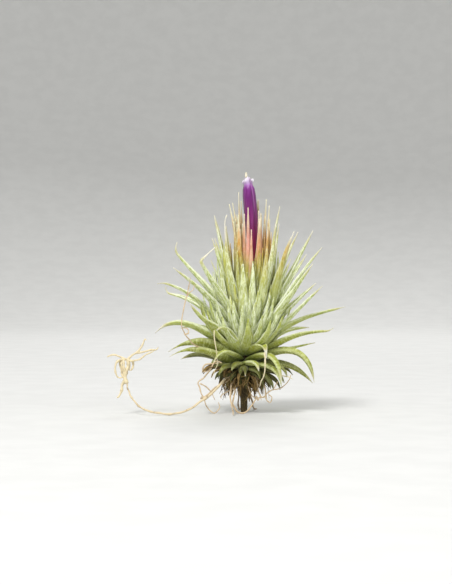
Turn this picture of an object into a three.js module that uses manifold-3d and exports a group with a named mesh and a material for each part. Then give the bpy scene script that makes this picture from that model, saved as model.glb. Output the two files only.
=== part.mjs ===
// Hazelnut ionantha air plant, in millimetres.
// X is to the right, Y away from the viewer and Z up. The origin is the middle of the cut end of the stem,
// which stands on the surface together with the stiff roots around it.

import * as THREE from 'three';
import ManifoldModule from 'manifold-3d';

const manifold = await ManifoldModule();
manifold.setup();

// Driving sizes

const STEM_TOP = 38.5;
const STEM_LEAN = 3.6;
const LEAN_START = 12;
const SEAT_GAP = 0.3;
const LEAF_CURL = 64;
const NECK_CURL = 28;
const WIDEST_AT = 0.2;
const LEAF_THICK = 1.05;
const OLD_LEAF_THICK = 1.7;
const TIP_WIDTH = 0.24;
const LEAF_STATIONS = 11;
const ROOT_SIDES = 5;
const TUBE_RADIUS = 2.1;
const PETAL_THICK = 0.4;
const PETAL_LAP_GAP = 0.34;
const RAD = Math.PI / 180;

// Materials, with colours read by eye

const paint = (name, colour, roughness) =>
  Object.assign(new THREE.MeshStandardMaterial({ color: colour, roughness, metalness: 0 }), { name });
const SILVER_GREEN = paint('silver_green_leaf', '#b7c395', 0.85);
const DEEP_GREEN = paint('deep_green_leaf', '#8f9a52', 0.85);
const BLUSHED = paint('blushed_leaf', '#c9a765', 0.8);
const VIOLET = paint('violet_petal', '#85217a', 0.5);
const CREAM = paint('cream_flower_parts', '#e4ddba', 0.6);
const BARK = paint('woody_stem', '#4b4023', 0.9);
const ROOT_TAN = paint('wiry_root', '#a8966f', 0.8);

const plant = new THREE.Group();
plant.name = 'hazelnut_ionantha_air_plant';

const smooth = (x) => {
  const t = Math.min(1, Math.max(0, x));
  return t * t * (3 - 2 * t);
};

// The stem's middle line leans to the right above LEAN_START.
function stemShift(z) {
  const t = Math.max(0, z - LEAN_START) / (STEM_TOP - LEAN_START);
  return STEM_LEAN * t * t;
}

// The stem swells where the leaves sit and tapers under the flower.
const STEM_PROFILE = [
  [0, 1.6],
  [5, 1.7],
  [11, 2.4],
  [17, 3.6],
  [24, 3.9],
  [30, 3.1],
  [35, 1.9],
  [STEM_TOP, 1.3],
];

function stemRadius(z) {
  for (let i = 1; i < STEM_PROFILE.length; i += 1) {
    const [z0, r0] = STEM_PROFILE[i - 1];
    const [z1, r1] = STEM_PROFILE[i];
    if (z <= z1) {
      return r0 + ((r1 - r0) * (z - z0)) / (z1 - z0);
    }
  }
  return STEM_PROFILE.at(-1)[1];
}

// Shapes

// A closed skin over a row of rings that all have the same number of points. Both ends are closed by a fan
// about their middle, or, for the ring of a bent strip, by quads between its two long sides.
function skin(rings, isStrip = false) {
  const count = rings[0].length;
  const points = rings.flat();
  const index = [];
  for (let ring = 0; ring + 1 < rings.length; ring += 1) {
    for (let k = 0; k < count; k += 1) {
      const a = ring * count + k;
      const b = ring * count + ((k + 1) % count);
      index.push(a, b, a + count, b, b + count, a + count);
    }
  }
  [0, rings.length - 1].forEach((ring, end) => {
    if (isStrip) {
      for (let k = 0; k + 1 < count / 2; k += 1) {
        const [a, b, c, d] = [k, k + 1, count - 2 - k, count - 1 - k].map((corner) => ring * count + corner);
        index.push(...(end === 0 ? [a, c, b, a, d, c] : [a, b, c, a, c, d]));
      }
      return;
    }
    const middle = rings[ring].reduce((sum, p) => sum.add(p), new THREE.Vector3()).divideScalar(count);
    const centre = points.push(middle) - 1;
    for (let k = 0; k < count; k += 1) {
      const a = ring * count + k;
      const b = ring * count + ((k + 1) % count);
      index.push(...(end === 0 ? [b, a, centre] : [a, b, centre]));
    }
  });
  const geometry = new THREE.BufferGeometry().setFromPoints(points);
  geometry.setIndex(index);
  return faceOut(geometry);
}

// Turns every triangle over when the skin encloses a negative volume.
function faceOut(geometry) {
  const at = geometry.attributes.position;
  const index = geometry.index.array;
  const corner = [new THREE.Vector3(), new THREE.Vector3(), new THREE.Vector3()];
  let volume = 0;
  for (let i = 0; i < index.length; i += 3) {
    corner.forEach((p, k) => p.fromBufferAttribute(at, index[i + k]));
    volume += corner[0].dot(corner[1].clone().cross(corner[2]));
  }
  if (volume < 0) {
    for (let i = 0; i < index.length; i += 3) {
      [index[i], index[i + 1]] = [index[i + 1], index[i]];
    }
  }
  geometry.computeVertexNormals();
  return geometry;
}

function add(name, geometry, material) {
  const mesh = new THREE.Mesh(geometry, material);
  mesh.name = name;
  plant.add(mesh);
}

function solidOf(geometry) {
  return new manifold.Manifold(
    new manifold.Mesh({
      numProp: 3,
      vertProperties: Float32Array.from(geometry.attributes.position.array),
      triVerts: Uint32Array.from(geometry.index.array),
    }),
  );
}

// Grows overlapping strands together into one body.
function grownTogether(geometries) {
  const joined = manifold.Manifold.union(geometries.map(solidOf)).simplify(0.01);
  const mesh = joined.getMesh();
  const geometry = new THREE.BufferGeometry();
  geometry.setAttribute('position', new THREE.BufferAttribute(Float32Array.from(mesh.vertProperties), 3));
  geometry.setIndex(Array.from(mesh.triVerts));
  geometry.computeVertexNormals();
  return geometry;
}

// Stem

function buildStem() {
  const sides = 12;
  const rings = STEM_PROFILE.map(([z, radius]) =>
    Array.from({ length: sides }, (_, k) => {
      const turn = (k / sides) * 2 * Math.PI;
      return new THREE.Vector3(stemShift(z) + radius * Math.cos(turn), radius * Math.sin(turn), z);
    }),
  );
  add('stem', skin(rings), BARK);
}

// Leaves
//
// A leaf leaves the stem at height base, rising at an angle, and its tip is reach millimetres out from the
// stem at height tip, where it points at the angle end. turn is the compass angle seen from above: 0 is right,
// 90 is behind, 180 is left and -90 is in front. The middle line between the two ends is one cubic curve.

function leafLine({ turn, base, rise, reach, tip, end, pull = 0.42, sway = 0, kink }) {
  const start = stemRadius(base) + SEAT_GAP + 0.5 * LEAF_THICK * Math.sin(rise * RAD) + 0.1;
  const from = new THREE.Vector2(start, base);
  const to = new THREE.Vector2(reach, tip);
  const handle = pull * from.distanceTo(to);
  const ahead = (angle) => new THREE.Vector2(Math.cos(angle * RAD), Math.sin(angle * RAD)).multiplyScalar(handle);
  const curve = new THREE.CubicBezierCurve(from, from.clone().add(ahead(rise)), to.clone().sub(ahead(end)), to);
  const out = new THREE.Vector3(Math.cos(turn * RAD), Math.sin(turn * RAD), 0);
  const side = new THREE.Vector3(-Math.sin(turn * RAD), Math.cos(turn * RAD), 0);
  const foot = stemShift(base);
  return (u) => {
    const at = curve.getPoint(u);
    const along = curve.getTangent(u);
    if (kink && u > kink.at) {
      const hinge = curve.getPoint(kink.at);
      const bend = kink.turn * RAD * smooth((u - kink.at) / 0.04);
      at.rotateAround(hinge, bend);
      along.rotateAround(new THREE.Vector2(), bend);
    }
    const point = new THREE.Vector3(foot, 0, 0)
      .addScaledVector(out, at.x)
      .addScaledVector(side, sway * u * u);
    point.z = at.y;
    const normal = out.clone().multiplyScalar(-along.y);
    normal.z = along.x;
    return { point, side, normal };
  };
}

// Width against wide, the widest: a narrow neck at the stem, widest at WIDEST_AT, then an even taper.
function leafShape(u) {
  const taper = Math.pow((1 - u) / (1 - WIDEST_AT), 0.74);
  return (0.42 + 0.58 * smooth(u / WIDEST_AT)) * taper;
}

function buildLeaf(leaf) {
  const line = leafLine(leaf);
  const rings = [];
  for (let i = 0; i < LEAF_STATIONS; i += 1) {
    const u = i / (LEAF_STATIONS - 1);
    const { point, side, normal } = line(u);
    const full = LEAF_THICK + (leaf.thick - LEAF_THICK) * smooth((u - 0.1) / 0.3);
    const half = Math.max(TIP_WIDTH, leaf.wide * leafShape(u)) / 2;
    const thick = Math.max(TIP_WIDTH, full * (0.35 + 0.65 * Math.pow(1 - u, 0.7)));
    const depth = Math.min(thick, half * 1.6) / 2;
    const curl = (NECK_CURL + (LEAF_CURL - NECK_CURL) * smooth(u / WIDEST_AT)) * RAD;
    const place = (v, up) => {
      const angle = v * curl;
      const radius = half / Math.sin(curl);
      const across = (radius - up) * Math.sin(angle);
      const lift = radius - (radius - up) * Math.cos(angle);
      return point.clone().addScaledVector(side, across).addScaledVector(normal, lift);
    };
    rings.push([place(-1, 0), place(-0.5, -depth), place(0, -depth), place(0.5, -depth), place(1, 0), place(0, depth)]);
  }
  add(leaf.name, skin(rings), leaf.skin);
}

const LOW_LEAVES = [
  { turn: -122, base: 20.2, rise: 26, reach: 21.5, tip: 20, end: -48, wide: 4 },
  { turn: -50, base: 19.4, rise: 30, reach: 21, tip: 11.8, end: -82, wide: 4.4, pull: 0.55 },
  { turn: -88, base: 16.6, rise: 4, reach: 11, tip: 14.4, end: -72, wide: 2.6 },
  { turn: -68, base: 18.3, rise: 6, reach: 14, tip: 16.4, end: -58, wide: 4 },
  { turn: -12, base: 19.8, rise: 26, reach: 26.5, tip: 11.7, end: -80, wide: 4.4, pull: 0.56 },
  { turn: 8, base: 17.5, rise: 12, reach: 25.5, tip: 11.2, end: -46, wide: 4 },
  { turn: 48, base: 17, rise: 18, reach: 25, tip: 12.5, end: -62, wide: 4.8 },
  { turn: 88, base: 16.5, rise: 15, reach: 26, tip: 13, end: -55, wide: 4.4 },
  { turn: 124, base: 17.5, rise: 18, reach: 25, tip: 13.5, end: -60, wide: 4.4 },
  { turn: 158, base: 18, rise: 15, reach: 26.5, tip: 19.5, end: -22, wide: 4 },
];

const SPREADING_LEAVES = [
  { turn: -174, base: 20, rise: 36, reach: 29, tip: 23, end: -28, wide: 4.6 },
  { turn: -158, base: 18.6, rise: 25, reach: 30, tip: 21.6, end: -24, wide: 4.2 },
  { turn: 176, base: 23, rise: 36, reach: 34.4, tip: 29.8, end: -48, wide: 5.8 },
  { turn: -145, base: 24.4, rise: 48, reach: 25.4, tip: 41.5, end: 54, wide: 5 },
  { turn: 7, base: 22.8, rise: 46, reach: 38.2, tip: 39.8, end: 13, wide: 4.6 },
  { turn: -11, base: 21, rise: 32, reach: 34, tip: 31, end: 0, wide: 4.6 },
  { turn: -60, base: 22, rise: 30, reach: 15.5, tip: 21.2, end: -88, wide: 4.8, pull: 0.62 },
  { turn: -122, base: 21.8, rise: 38, reach: 19.5, tip: 31.6, end: -26, wide: 4.6 },
  { turn: -86, base: 24.4, rise: 34, reach: 14.2, tip: 35.6, end: 92, wide: 4.2, pull: 0.45 },
  { turn: 66, base: 21.5, rise: 36, reach: 31, tip: 31, end: -8, wide: 4.6 },
  { turn: 106, base: 22, rise: 38, reach: 33, tip: 32.5, end: -12, wide: 4.6 },
  { turn: 142, base: 21.6, rise: 36, reach: 32, tip: 31, end: -18, wide: 4.6 },
];

const RISING_LEAVES = [
  { turn: 162, base: 24.6, rise: 52, reach: 34.2, tip: 45.2, end: 8, wide: 4.4, kink: { at: 0.9, turn: 37 } },
  { turn: -173, base: 25.4, rise: 49, reach: 33.6, tip: 49.6, end: 14, wide: 4.2, kink: { at: 0.9, turn: -12 } },
  { turn: -154, base: 27.4, rise: 57, reach: 30.4, tip: 54.6, end: 36, wide: 4.4 },
  { turn: -178, base: 28.5, rise: 66, reach: 29.6, tip: 63.4, end: 52, wide: 5, kink: { at: 0.9, turn: 30 } },
  { turn: -136, base: 28.6, rise: 62, reach: 29, tip: 64.4, end: 60, wide: 3.6, kink: { at: 0.8, turn: 88 } },
  { turn: -22, base: 29.2, rise: 58, reach: 18.6, tip: 68.2, end: 66, wide: 5 },
  { turn: 16, base: 28.2, rise: 60, reach: 26, tip: 68.8, end: 62, wide: 4.2 },
  { turn: -6, base: 26.5, rise: 54, reach: 28.4, tip: 62.3, end: 50, wide: 4.2 },
  { turn: 24, base: 25, rise: 47, reach: 29.4, tip: 48.8, end: 40, wide: 4.4 },
  { turn: 92, base: 26, rise: 54, reach: 27, tip: 55, end: 50, wide: 4.4 },
  { turn: 130, base: 26.5, rise: 56, reach: 27, tip: 57, end: 54, wide: 4.4 },
];

const ERECT_LEAVES = [
  { turn: 168, base: 31, rise: 76, reach: 13.4, tip: 74.4, end: 78, wide: 4.4 },
  { turn: -132, base: 31.5, rise: 68, reach: 14, tip: 74.4, end: 86, wide: 3.4 },
  { turn: -98, base: 28.5, rise: 55, reach: 12.5, tip: 56, end: 90, wide: 4 },
  { turn: -58, base: 29, rise: 56, reach: 13.5, tip: 62.5, end: 84, wide: 4 },
  { turn: -36, base: 31.8, rise: 70, reach: 12.2, tip: 71, end: 84, wide: 3.6 },
  { turn: 3, base: 32.2, rise: 72, reach: 11.5, tip: 77.8, end: 78, wide: 3.6 },
  { turn: 74, base: 31.5, rise: 72, reach: 11, tip: 72, end: 84, wide: 3.6 },
  { turn: 118, base: 32, rise: 74, reach: 10.5, tip: 75, end: 86, wide: 3.6 },
];

const HEART_LEAVES = [
  { turn: -150, base: 33.8, rise: 84, reach: 9.2, tip: 78.4, end: 76, wide: 3 },
  { turn: -90, base: 34.4, rise: 72, reach: 7.4, tip: 77, end: 90, wide: 2.4, sway: -1.4 },
  { turn: 172, base: 36, rise: 82, reach: 5, tip: 83.2, end: 88, wide: 2.8 },
  { turn: 34, base: 35, rise: 78, reach: 7, tip: 80.6, end: 86, wide: 3 },
];

function buildLeaves() {
  const tiers = [
    ['leaf_low', LOW_LEAVES, DEEP_GREEN, OLD_LEAF_THICK],
    ['leaf_spreading', SPREADING_LEAVES, SILVER_GREEN, LEAF_THICK],
    ['leaf_rising', RISING_LEAVES, SILVER_GREEN, LEAF_THICK],
    ['leaf_erect', ERECT_LEAVES, SILVER_GREEN, LEAF_THICK],
    ['leaf_heart', HEART_LEAVES, BLUSHED, LEAF_THICK],
  ];
  tiers.forEach(([prefix, leaves, skin, thick]) => {
    leaves.forEach((leaf, i) => {
      buildLeaf({ ...leaf, skin, thick, name: `${prefix}_${String(i + 1).padStart(2, '0')}` });
    });
  });
}

// Flower
//
// The flower stands on top of the stem. Its axis leans back to the left and ends above the leaf tips.

const FLOWER_LINE = new THREE.CatmullRomCurve3([
  new THREE.Vector3(stemShift(STEM_TOP) + 0.1, 0, STEM_TOP + SEAT_GAP),
  new THREE.Vector3(4.2, 0, 50),
  new THREE.Vector3(3.6, 0, 61),
  new THREE.Vector3(2.8, -0.2, 73),
  new THREE.Vector3(1.8, -0.4, 84),
  new THREE.Vector3(1.4, -0.4, 88.2),
]);

function flowerPoint(u, radius, turn) {
  const middle = FLOWER_LINE.getPoint(u);
  const along = FLOWER_LINE.getTangent(u);
  const right = new THREE.Vector3(1, 0, 0).addScaledVector(along, -along.x).normalize();
  const back = along.clone().cross(right);
  return middle
    .addScaledVector(right, radius * Math.cos(turn))
    .addScaledVector(back, radius * Math.sin(turn));
}

// Each of the three petals is a strip rolled into a third of the tube, and its tip flares outwards.
// The columns are the share of the line, the radius, and the width against a full third.
const PETAL_PROFILE = [
  [0, 1.4, 1],
  [0.1, 1.6, 1],
  [0.3, 1.95, 1],
  [0.5, TUBE_RADIUS, 1],
  [0.7, TUBE_RADIUS, 1],
  [0.82, 1.85, 1],
  [0.88, 1.6, 0.95],
  [0.94, 1.75, 0.8],
  [1, 2.4, 0.45],
];

function buildPetal(number, facing) {
  const rings = PETAL_PROFILE.map(([u, radius, narrowing]) => {
    const halfTurn = (60 * RAD - PETAL_LAP_GAP / radius / 2) * narrowing;
    const across = [-1, -0.5, 0, 0.5, 1];
    const outer = across.map((v) => flowerPoint(u, radius, facing * RAD + v * halfTurn));
    const inner = across.map((v) => flowerPoint(u, radius - PETAL_THICK, facing * RAD + v * halfTurn));
    return [...outer, ...inner.reverse()];
  });
  add(`petal_${number}`, skin(rings, true), VIOLET);
}

function rodAlong(from, to, radius, turn, thick, sides = 5) {
  const stations = [0, 0.25, 0.5, 0.75, 1];
  const rings = stations.map((s) => {
    const u = from + (to - from) * s;
    return Array.from({ length: sides }, (_, k) => {
      const around = (k / sides) * 2 * Math.PI;
      const shift = new THREE.Vector3(Math.cos(around) * thick, Math.sin(around) * thick, 0);
      return flowerPoint(u, radius, turn * RAD).add(shift);
    });
  });
  return skin(rings);
}

function buildFlower() {
  [-134, -14, 106].forEach((facing, i) => buildPetal(i + 1, facing));

  const top = flowerPoint(1, 0, 0);
  const styleTop = top.clone().add(new THREE.Vector3(-0.6, -0.1, 1.7));
  const style = tube([0.02, 0.25, 0.5, 0.75, 1].map((u) => flowerPoint(u, 0, 0)).concat(styleTop), 0.27);
  const ball = manifold.Manifold.sphere(0.6, 8).translate(styleTop.toArray());
  const pistil = solidOf(style).add(ball);
  add('pistil', fromSolid(pistil), CREAM);

  // Six filaments stand in a ring on one small seat, with their anthers just under the petal tips.
  const filaments = Array.from({ length: 6 }, (_, k) => rodAlong(0.03, 0.9, 0.82, k * 60, 0.17));
  const seat = manifold.Manifold.cylinder(1.4, 0.95, 0.95, 12)
    .subtract(manifold.Manifold.cylinder(3, 0.58, 0.58, 8).translate([0, 0, -0.5]))
    .translate(flowerPoint(0.02, 0, 0).toArray());
  const stamens = manifold.Manifold.union([...filaments.map(solidOf), seat]);
  add('stamens', fromSolid(stamens), CREAM);
}

function fromSolid(solid) {
  const mesh = solid.getMesh();
  const geometry = new THREE.BufferGeometry();
  geometry.setAttribute('position', new THREE.BufferAttribute(Float32Array.from(mesh.vertProperties), 3));
  geometry.setIndex(Array.from(mesh.triVerts));
  geometry.computeVertexNormals();
  return geometry;
}

// Roots
//
// Each root is a strand through points chosen by hand. Nothing reaches under the surface: the lowest
// corners of a strand that lies on it are flat on it.

function tube(points, radius, tipRadius = radius * 0.55, step = 2.2) {
  const curve = new THREE.CatmullRomCurve3(points, false, 'centripetal');
  const stations = Math.max(4, Math.round(curve.getLength() / step));
  const frames = curve.computeFrenetFrames(stations, false);
  const rings = [];
  for (let i = 0; i <= stations; i += 1) {
    const u = i / stations;
    const middle = curve.getPointAt(u);
    const r = radius + (tipRadius - radius) * u;
    rings.push(
      Array.from({ length: ROOT_SIDES }, (_, k) => {
        const around = (k / ROOT_SIDES) * 2 * Math.PI;
        const corner = middle
          .clone()
          .addScaledVector(frames.normals[i], r * Math.cos(around))
          .addScaledVector(frames.binormals[i], r * Math.sin(around));
        corner.z = Math.max(0, corner.z);
        return corner;
      }),
    );
  }
  return skin(rings);
}

const strand = (radius, ...points) => ({ radius, points: points.map((p) => new THREE.Vector3(...p)) });

const ROOTS = {
  long_root: [
    strand(0.6, [-43.2, -10.9, 10.8], [-42, -11.5, 7], [-40.2, -12, 4.7], [-37.6, -12.6, 2.5], [-34, -13, 1.3],
      [-27.8, -14, 0.6], [-21.6, -13, 1.6], [-16.8, -11, 4.4], [-11.2, -8, 8.6], [-6.4, -5, 13.4], [-2.7, -2.7, 14.4]),
  ],
  root_tangle: [
    strand(0.62, [-43.6, -10.6, 11.7], [-44.2, -10.3, 14], [-43.8, -10, 16.3], [-43, -9.7, 18], [-43.2, -9.8, 19.6],
      [-43.9, -9.3, 20.6]),
    strand(0.48, [-44, -10.3, 13], [-45.3, -10, 11], [-45.5, -10.4, 9], [-46.2, -10.8, 7.2], [-47.2, -11, 6.3]),
    strand(0.38, [-44.2, -10, 13.6], [-45.5, -9.2, 15], [-45.8, -9, 17], [-46.2, -9.2, 19.2], [-45.3, -9.2, 20.4],
      [-43.9, -9.3, 20.4]),
    strand(0.38, [-43.9, -9.4, 20.5], [-46, -9.8, 20.4], [-47.4, -10.5, 19.2], [-47.8, -10.8, 17],
      [-47.3, -10.4, 14.6], [-46.4, -10, 13.7], [-44.4, -10, 13.9]),
    strand(0.42, [-43.9, -9.4, 20.5], [-46.2, -9.3, 21.4], [-48.6, -9, 22.3], [-51, -8.8, 21.4]),
    strand(0.38, [-43.6, -9.6, 20.4], [-41.8, -9.2, 20], [-41.3, -8.8, 18.4], [-42, -9, 16.6], [-43.6, -9.9, 16.8]),
    strand(0.42, [-43.6, -9.6, 20.3], [-41.2, -9.2, 22.3], [-39.3, -9, 23.6], [-37.9, -8.7, 25.6], [-37, -8.6, 28]),
    strand(0.38, [-40, -9, 23], [-37.4, -9, 23.2], [-34.6, -8.8, 23.9], [-31.9, -8.6, 25.1]),
  ],
  climbing_root: [
    strand(0.28, [-4.15, -1.3, 19.35], [-5.5, -1.57, 20.22], [-7.4, -2, 21.5], [-9.3, -2.4, 22.7],
      [-11.3, -3.1, 23.8], [-13.2, -4.2, 24.9], [-15.4, -6, 26.3], [-17.8, -9, 27.4], [-20, -12.2, 28.4],
      [-21.4, -14.2, 29.6], [-22.8, -16, 33], [-22.5, -15.5, 38.4], [-21, -13.5, 44.5], [-19.8, -12.5, 51]),
    strand(0.26, [-21.3, -13.9, 43.4], [-20.4, -13.6, 45.2], [-18.9, -13.2, 46.4], [-18.1, -13, 48.6]),
  ],
  root_cluster_left: [
    strand(0.38, [-3.4, -1.4, 13.2], [-7, -4.5, 17.6], [-10.3, -6, 19.6], [-12, -7.3, 17.6], [-13.8, -7.5, 15],
      [-17, -7.2, 11.8], [-16.5, -7.4, 9.6], [-15.4, -7.6, 6.5], [-14.2, -7.5, 3.6], [-11.6, -7, 0.4],
      [-9.9, -6.4, 0.9], [-9.2, -6, 2.8], [-9.5, -6, 4.4]),
    strand(0.4, [-8.1, -5, 18.4], [-12, -6.4, 18.8], [-15, -7.2, 18], [-15.2, -7.4, 16], [-13.6, -7.4, 15.4]),
    strand(0.32, [-16.6, -7.2, 11.2], [-14.3, -6.5, 10.2], [-12.2, -6, 8], [-10.8, -6, 5]),
    strand(0.36, [-3.4, -1.4, 13.2], [-6.6, -4.3, 11.6], [-11, -5.4, 9.6], [-14.2, -6.2, 6.6], [-15.4, -7.4, 6.2]),
    strand(0.32, [-6, -3.8, 12], [-6.2, -4.4, 10], [-7.2, -4.8, 8], [-8.6, -5, 6.4], [-8.5, -5, 5.6]),
  ],
  root_front: [
    strand(0.42, [-1.6, -2.8, 13], [-3.8, -4.8, 11.6], [-4.7, -6, 10.2], [-5.1, -8, 7.6], [-4.6, -10, 3.6],
      [-4.1, -12.5, 1.4], [-4, -15, 0.3]),
    strand(0.4, [-2.4, -3.6, 12.5], [-3, -4.8, 10.4], [-3.5, -6.4, 7.6], [-4.3, -8, 4], [-4.2, -9.4, 2]),
  ],
  root_loop_front: [
    strand(0.42, [-3.5, -7.7, 2.6], [-2.2, -7.4, 0.7], [-0.4, -7, 0.44], [1.5, -6.6, 1.4], [3.1, -6.3, 3.2],
      [3.8, -6.2, 4.3]),
  ],
  root_cluster_right: [
    strand(0.38, [2.6, -2.6, 14.6], [3.6, -4, 14], [5, -5, 11], [5.4, -5.8, 8.3], [6.6, -5.7, 6.3], [7.8, -5.5, 6.4],
      [8.8, -5.2, 7.7], [10.6, -4.8, 8.9], [12.8, -4, 9.2], [14.7, -3.4, 10.1], [16.9, -2.8, 12.2], [17.7, -2, 14.6]),
    strand(0.36, [2.7, -2.7, 14.5], [6, -4.5, 12.6], [7.8, -5.2, 9.6], [8.1, -5.6, 7], [8.6, -5.8, 5],
      [9.7, -5.7, 4.3], [10.4, -5.5, 5.6], [9.1, -5.1, 7.4]),
    strand(0.3, [4.7, -5.8, 6], [5.3, -5.8, 5.4], [6, -5.8, 5.8], [6.6, -5.7, 6.2]),
    strand(0.3, [12.6, -4, 12], [12, -4.2, 10.6], [10.8, -4.7, 9]),
  ],
  root_back_left: [
    strand(0.42, [-1.3, 2.4, 9.5], [-2, 5, 6.5], [-2.2, 9, 2], [-1.8, 12.4, 0.28], [-1, 16, 0.24]),
  ],
  root_back_right: [
    strand(0.42, [1.4, 2.4, 9.5], [2.4, 4.6, 6.5], [3.4, 8.2, 2], [4, 11, 0.28], [5, 14.4, 0.24]),
  ],
};

function buildRoots() {
  Object.entries(ROOTS).forEach(([name, strands]) => {
    const shapes = strands.map(({ points, radius }) => tube(points, radius));
    add(name, shapes.length > 1 ? grownTogether(shapes) : shapes[0], ROOT_TAN);
  });
}

buildStem();
buildLeaves();
buildFlower();
buildRoots();

export default plant;
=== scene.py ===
# %% [markdown]
# # An ionantha air plant in flower
#
# The plant is a tight rosette of 267 stiff, channelled leaves on a short woody stem. The innermost leaves
# blush when it flowers, and one violet tube of three petals stands in the middle. Wiry roots hang and arch
# out from under the rosette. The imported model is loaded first: it fixes where every leaf, petal and root
# is. Each fine piece made here takes the place of its nodes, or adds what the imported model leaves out.

import math

import bpy
import numpy as np
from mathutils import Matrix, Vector


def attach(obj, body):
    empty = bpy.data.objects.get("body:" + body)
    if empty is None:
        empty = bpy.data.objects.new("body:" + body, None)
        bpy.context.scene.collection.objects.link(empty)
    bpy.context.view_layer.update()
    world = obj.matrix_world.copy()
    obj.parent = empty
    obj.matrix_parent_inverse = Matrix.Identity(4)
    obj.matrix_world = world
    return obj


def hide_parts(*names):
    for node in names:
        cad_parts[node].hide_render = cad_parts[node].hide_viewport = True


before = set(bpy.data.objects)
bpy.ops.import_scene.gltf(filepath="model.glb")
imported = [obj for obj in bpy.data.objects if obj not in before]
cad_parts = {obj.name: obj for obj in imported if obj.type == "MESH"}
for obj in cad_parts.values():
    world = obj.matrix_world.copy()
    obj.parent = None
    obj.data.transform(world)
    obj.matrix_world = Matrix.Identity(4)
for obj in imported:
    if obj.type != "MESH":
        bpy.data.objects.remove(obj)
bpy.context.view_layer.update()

# %% [markdown]
# ## The camera
#
# The plant is seen from the front, a little from above. One photo pixel is 0.38 mm at the stem, and the
# stem's foot stands at a known pixel. A camera 600 mm away looks through the middle of the picture, and its
# lens follows from those numbers, so no shift is needed.

# %% Camera
MM = 0.001
PHOTO_WIDE, PHOTO_HIGH = 452, 584
FOOT_X, FOOT_Y = 244, 412
MM_PER_PIXEL = 0.38
CAMERA_AWAY = 600
CAMERA_ABOVE = math.radians(5)
SENSOR = 36

ahead = np.array([0, math.cos(CAMERA_ABOVE), -math.sin(CAMERA_ABOVE)])
above = np.array([0, math.sin(CAMERA_ABOVE), math.cos(CAMERA_ABOVE)])
rightward = np.array([1, 0, 0])
eye = -CAMERA_AWAY * ahead
gaze = (
    CAMERA_AWAY * ahead
    + rightward * (PHOTO_WIDE / 2 - FOOT_X) * MM_PER_PIXEL
    + above * (FOOT_Y - PHOTO_HIGH / 2) * MM_PER_PIXEL
)

camera_data = bpy.data.cameras.new("camera")
camera_data.sensor_width = SENSOR
camera_data.lens = np.linalg.norm(gaze) / MM_PER_PIXEL * SENSOR / PHOTO_HIGH
camera_data.clip_start, camera_data.clip_end = 0.01, 20
camera = bpy.data.objects.new("camera", camera_data)
camera.location = Vector(eye * MM)
camera.rotation_euler = Vector(gaze).to_track_quat("-Z", "Y").to_euler()
bpy.context.scene.collection.objects.link(camera)
bpy.context.scene.camera = camera
print("lens in mm:", round(camera_data.lens, 1))

# %% [markdown]
# ## From formula to mesh
#
# Leaves, petals, roots and the stem are all the same kind of thing: a closed outline carried along a line.
# They could be modelled one by one, but a formula places hundreds of them and keeps each one tunable. So one
# helper is enough. It takes the outlines as an array, joins each to the next with quads and closes both ends
# with a fan. Numbers that the materials need, such as how far along the leaf a point is, go in as attributes
# of the points.

# %% Mesh helper
def smooth(t):
    """The S-shaped step 3t^2 - 2t^3, held at 0 below 0 and at 1 above 1."""
    t = np.clip(t, 0, 1)
    return t * t * (3 - 2 * t)


def unit(vectors):
    """Each vector divided by its own length."""
    return vectors / np.maximum(np.linalg.norm(vectors, axis=-1, keepdims=True), 1e-9)


def skin_faces(stations, around, first=0):
    """Corner numbers of the quads between neighbouring outlines, and of the fans about both ends' middles."""
    i, j = np.meshgrid(np.arange(stations - 1), np.arange(around), indexing="ij")
    k = (j + 1) % around
    quads = np.stack([i * around + j, i * around + k, (i + 1) * around + k, (i + 1) * around + j], -1)
    j = np.arange(around)
    k = (j + 1) % around
    foot, top = stations * around, stations * around + 1
    last = (stations - 1) * around
    fans = np.concatenate(
        [
            np.stack([np.full(around, foot), k, j], -1),
            np.stack([np.full(around, top), last + j, last + k], -1),
        ]
    )
    return quads.reshape(-1, 4) + first, fans + first


def skin_mesh(name, shells):
    """One mesh of closed skins. A shell is (outlines, marks): outlines is (stations, points, 3) in mm, and
    marks is {attribute: numbers of the same shape}. Each end is closed about the middle of its outline."""
    points, quads, fans, marks, count = [], [], [], {}, 0
    for outlines, shell_marks in shells:
        stations, around = outlines.shape[:2]
        points += [outlines.reshape(-1, 3), outlines[[0, -1]].mean(1)]
        shell_quads, shell_fans = skin_faces(stations, around, count)
        quads.append(shell_quads)
        fans.append(shell_fans)
        for mark, value in shell_marks.items():
            flat = value.reshape(-1, 3)
            ends = np.stack([flat[:around].mean(0), flat[-around:].mean(0)])
            marks.setdefault(mark, []).append(np.concatenate([flat, ends]))
        count += stations * around + 2
    points, quads, fans = (np.concatenate(part) for part in (points, quads, fans))
    corners = np.concatenate([quads.ravel(), fans.ravel()])
    sizes = np.concatenate([np.full(len(quads), 4), np.full(len(fans), 3)])
    mesh = bpy.data.meshes.new(name)
    mesh.vertices.add(len(points))
    mesh.vertices.foreach_set("co", (points * MM).astype(np.float32).ravel())
    mesh.loops.add(len(corners))
    mesh.loops.foreach_set("vertex_index", corners.astype(np.int32))
    mesh.polygons.add(len(sizes))
    mesh.polygons.foreach_set("loop_start", (np.cumsum(sizes) - sizes).astype(np.int32))
    mesh.polygons.foreach_set("use_smooth", np.ones(len(sizes), bool))
    for mark, parts in marks.items():
        layer = mesh.attributes.new(mark, "FLOAT_VECTOR", "POINT")
        layer.data.foreach_set("vector", np.concatenate(parts).astype(np.float32).ravel())
    mesh.update(calc_edges=True)
    mesh.validate()
    return mesh


made = {"pieces": 0, "triangles": 0}


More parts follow.
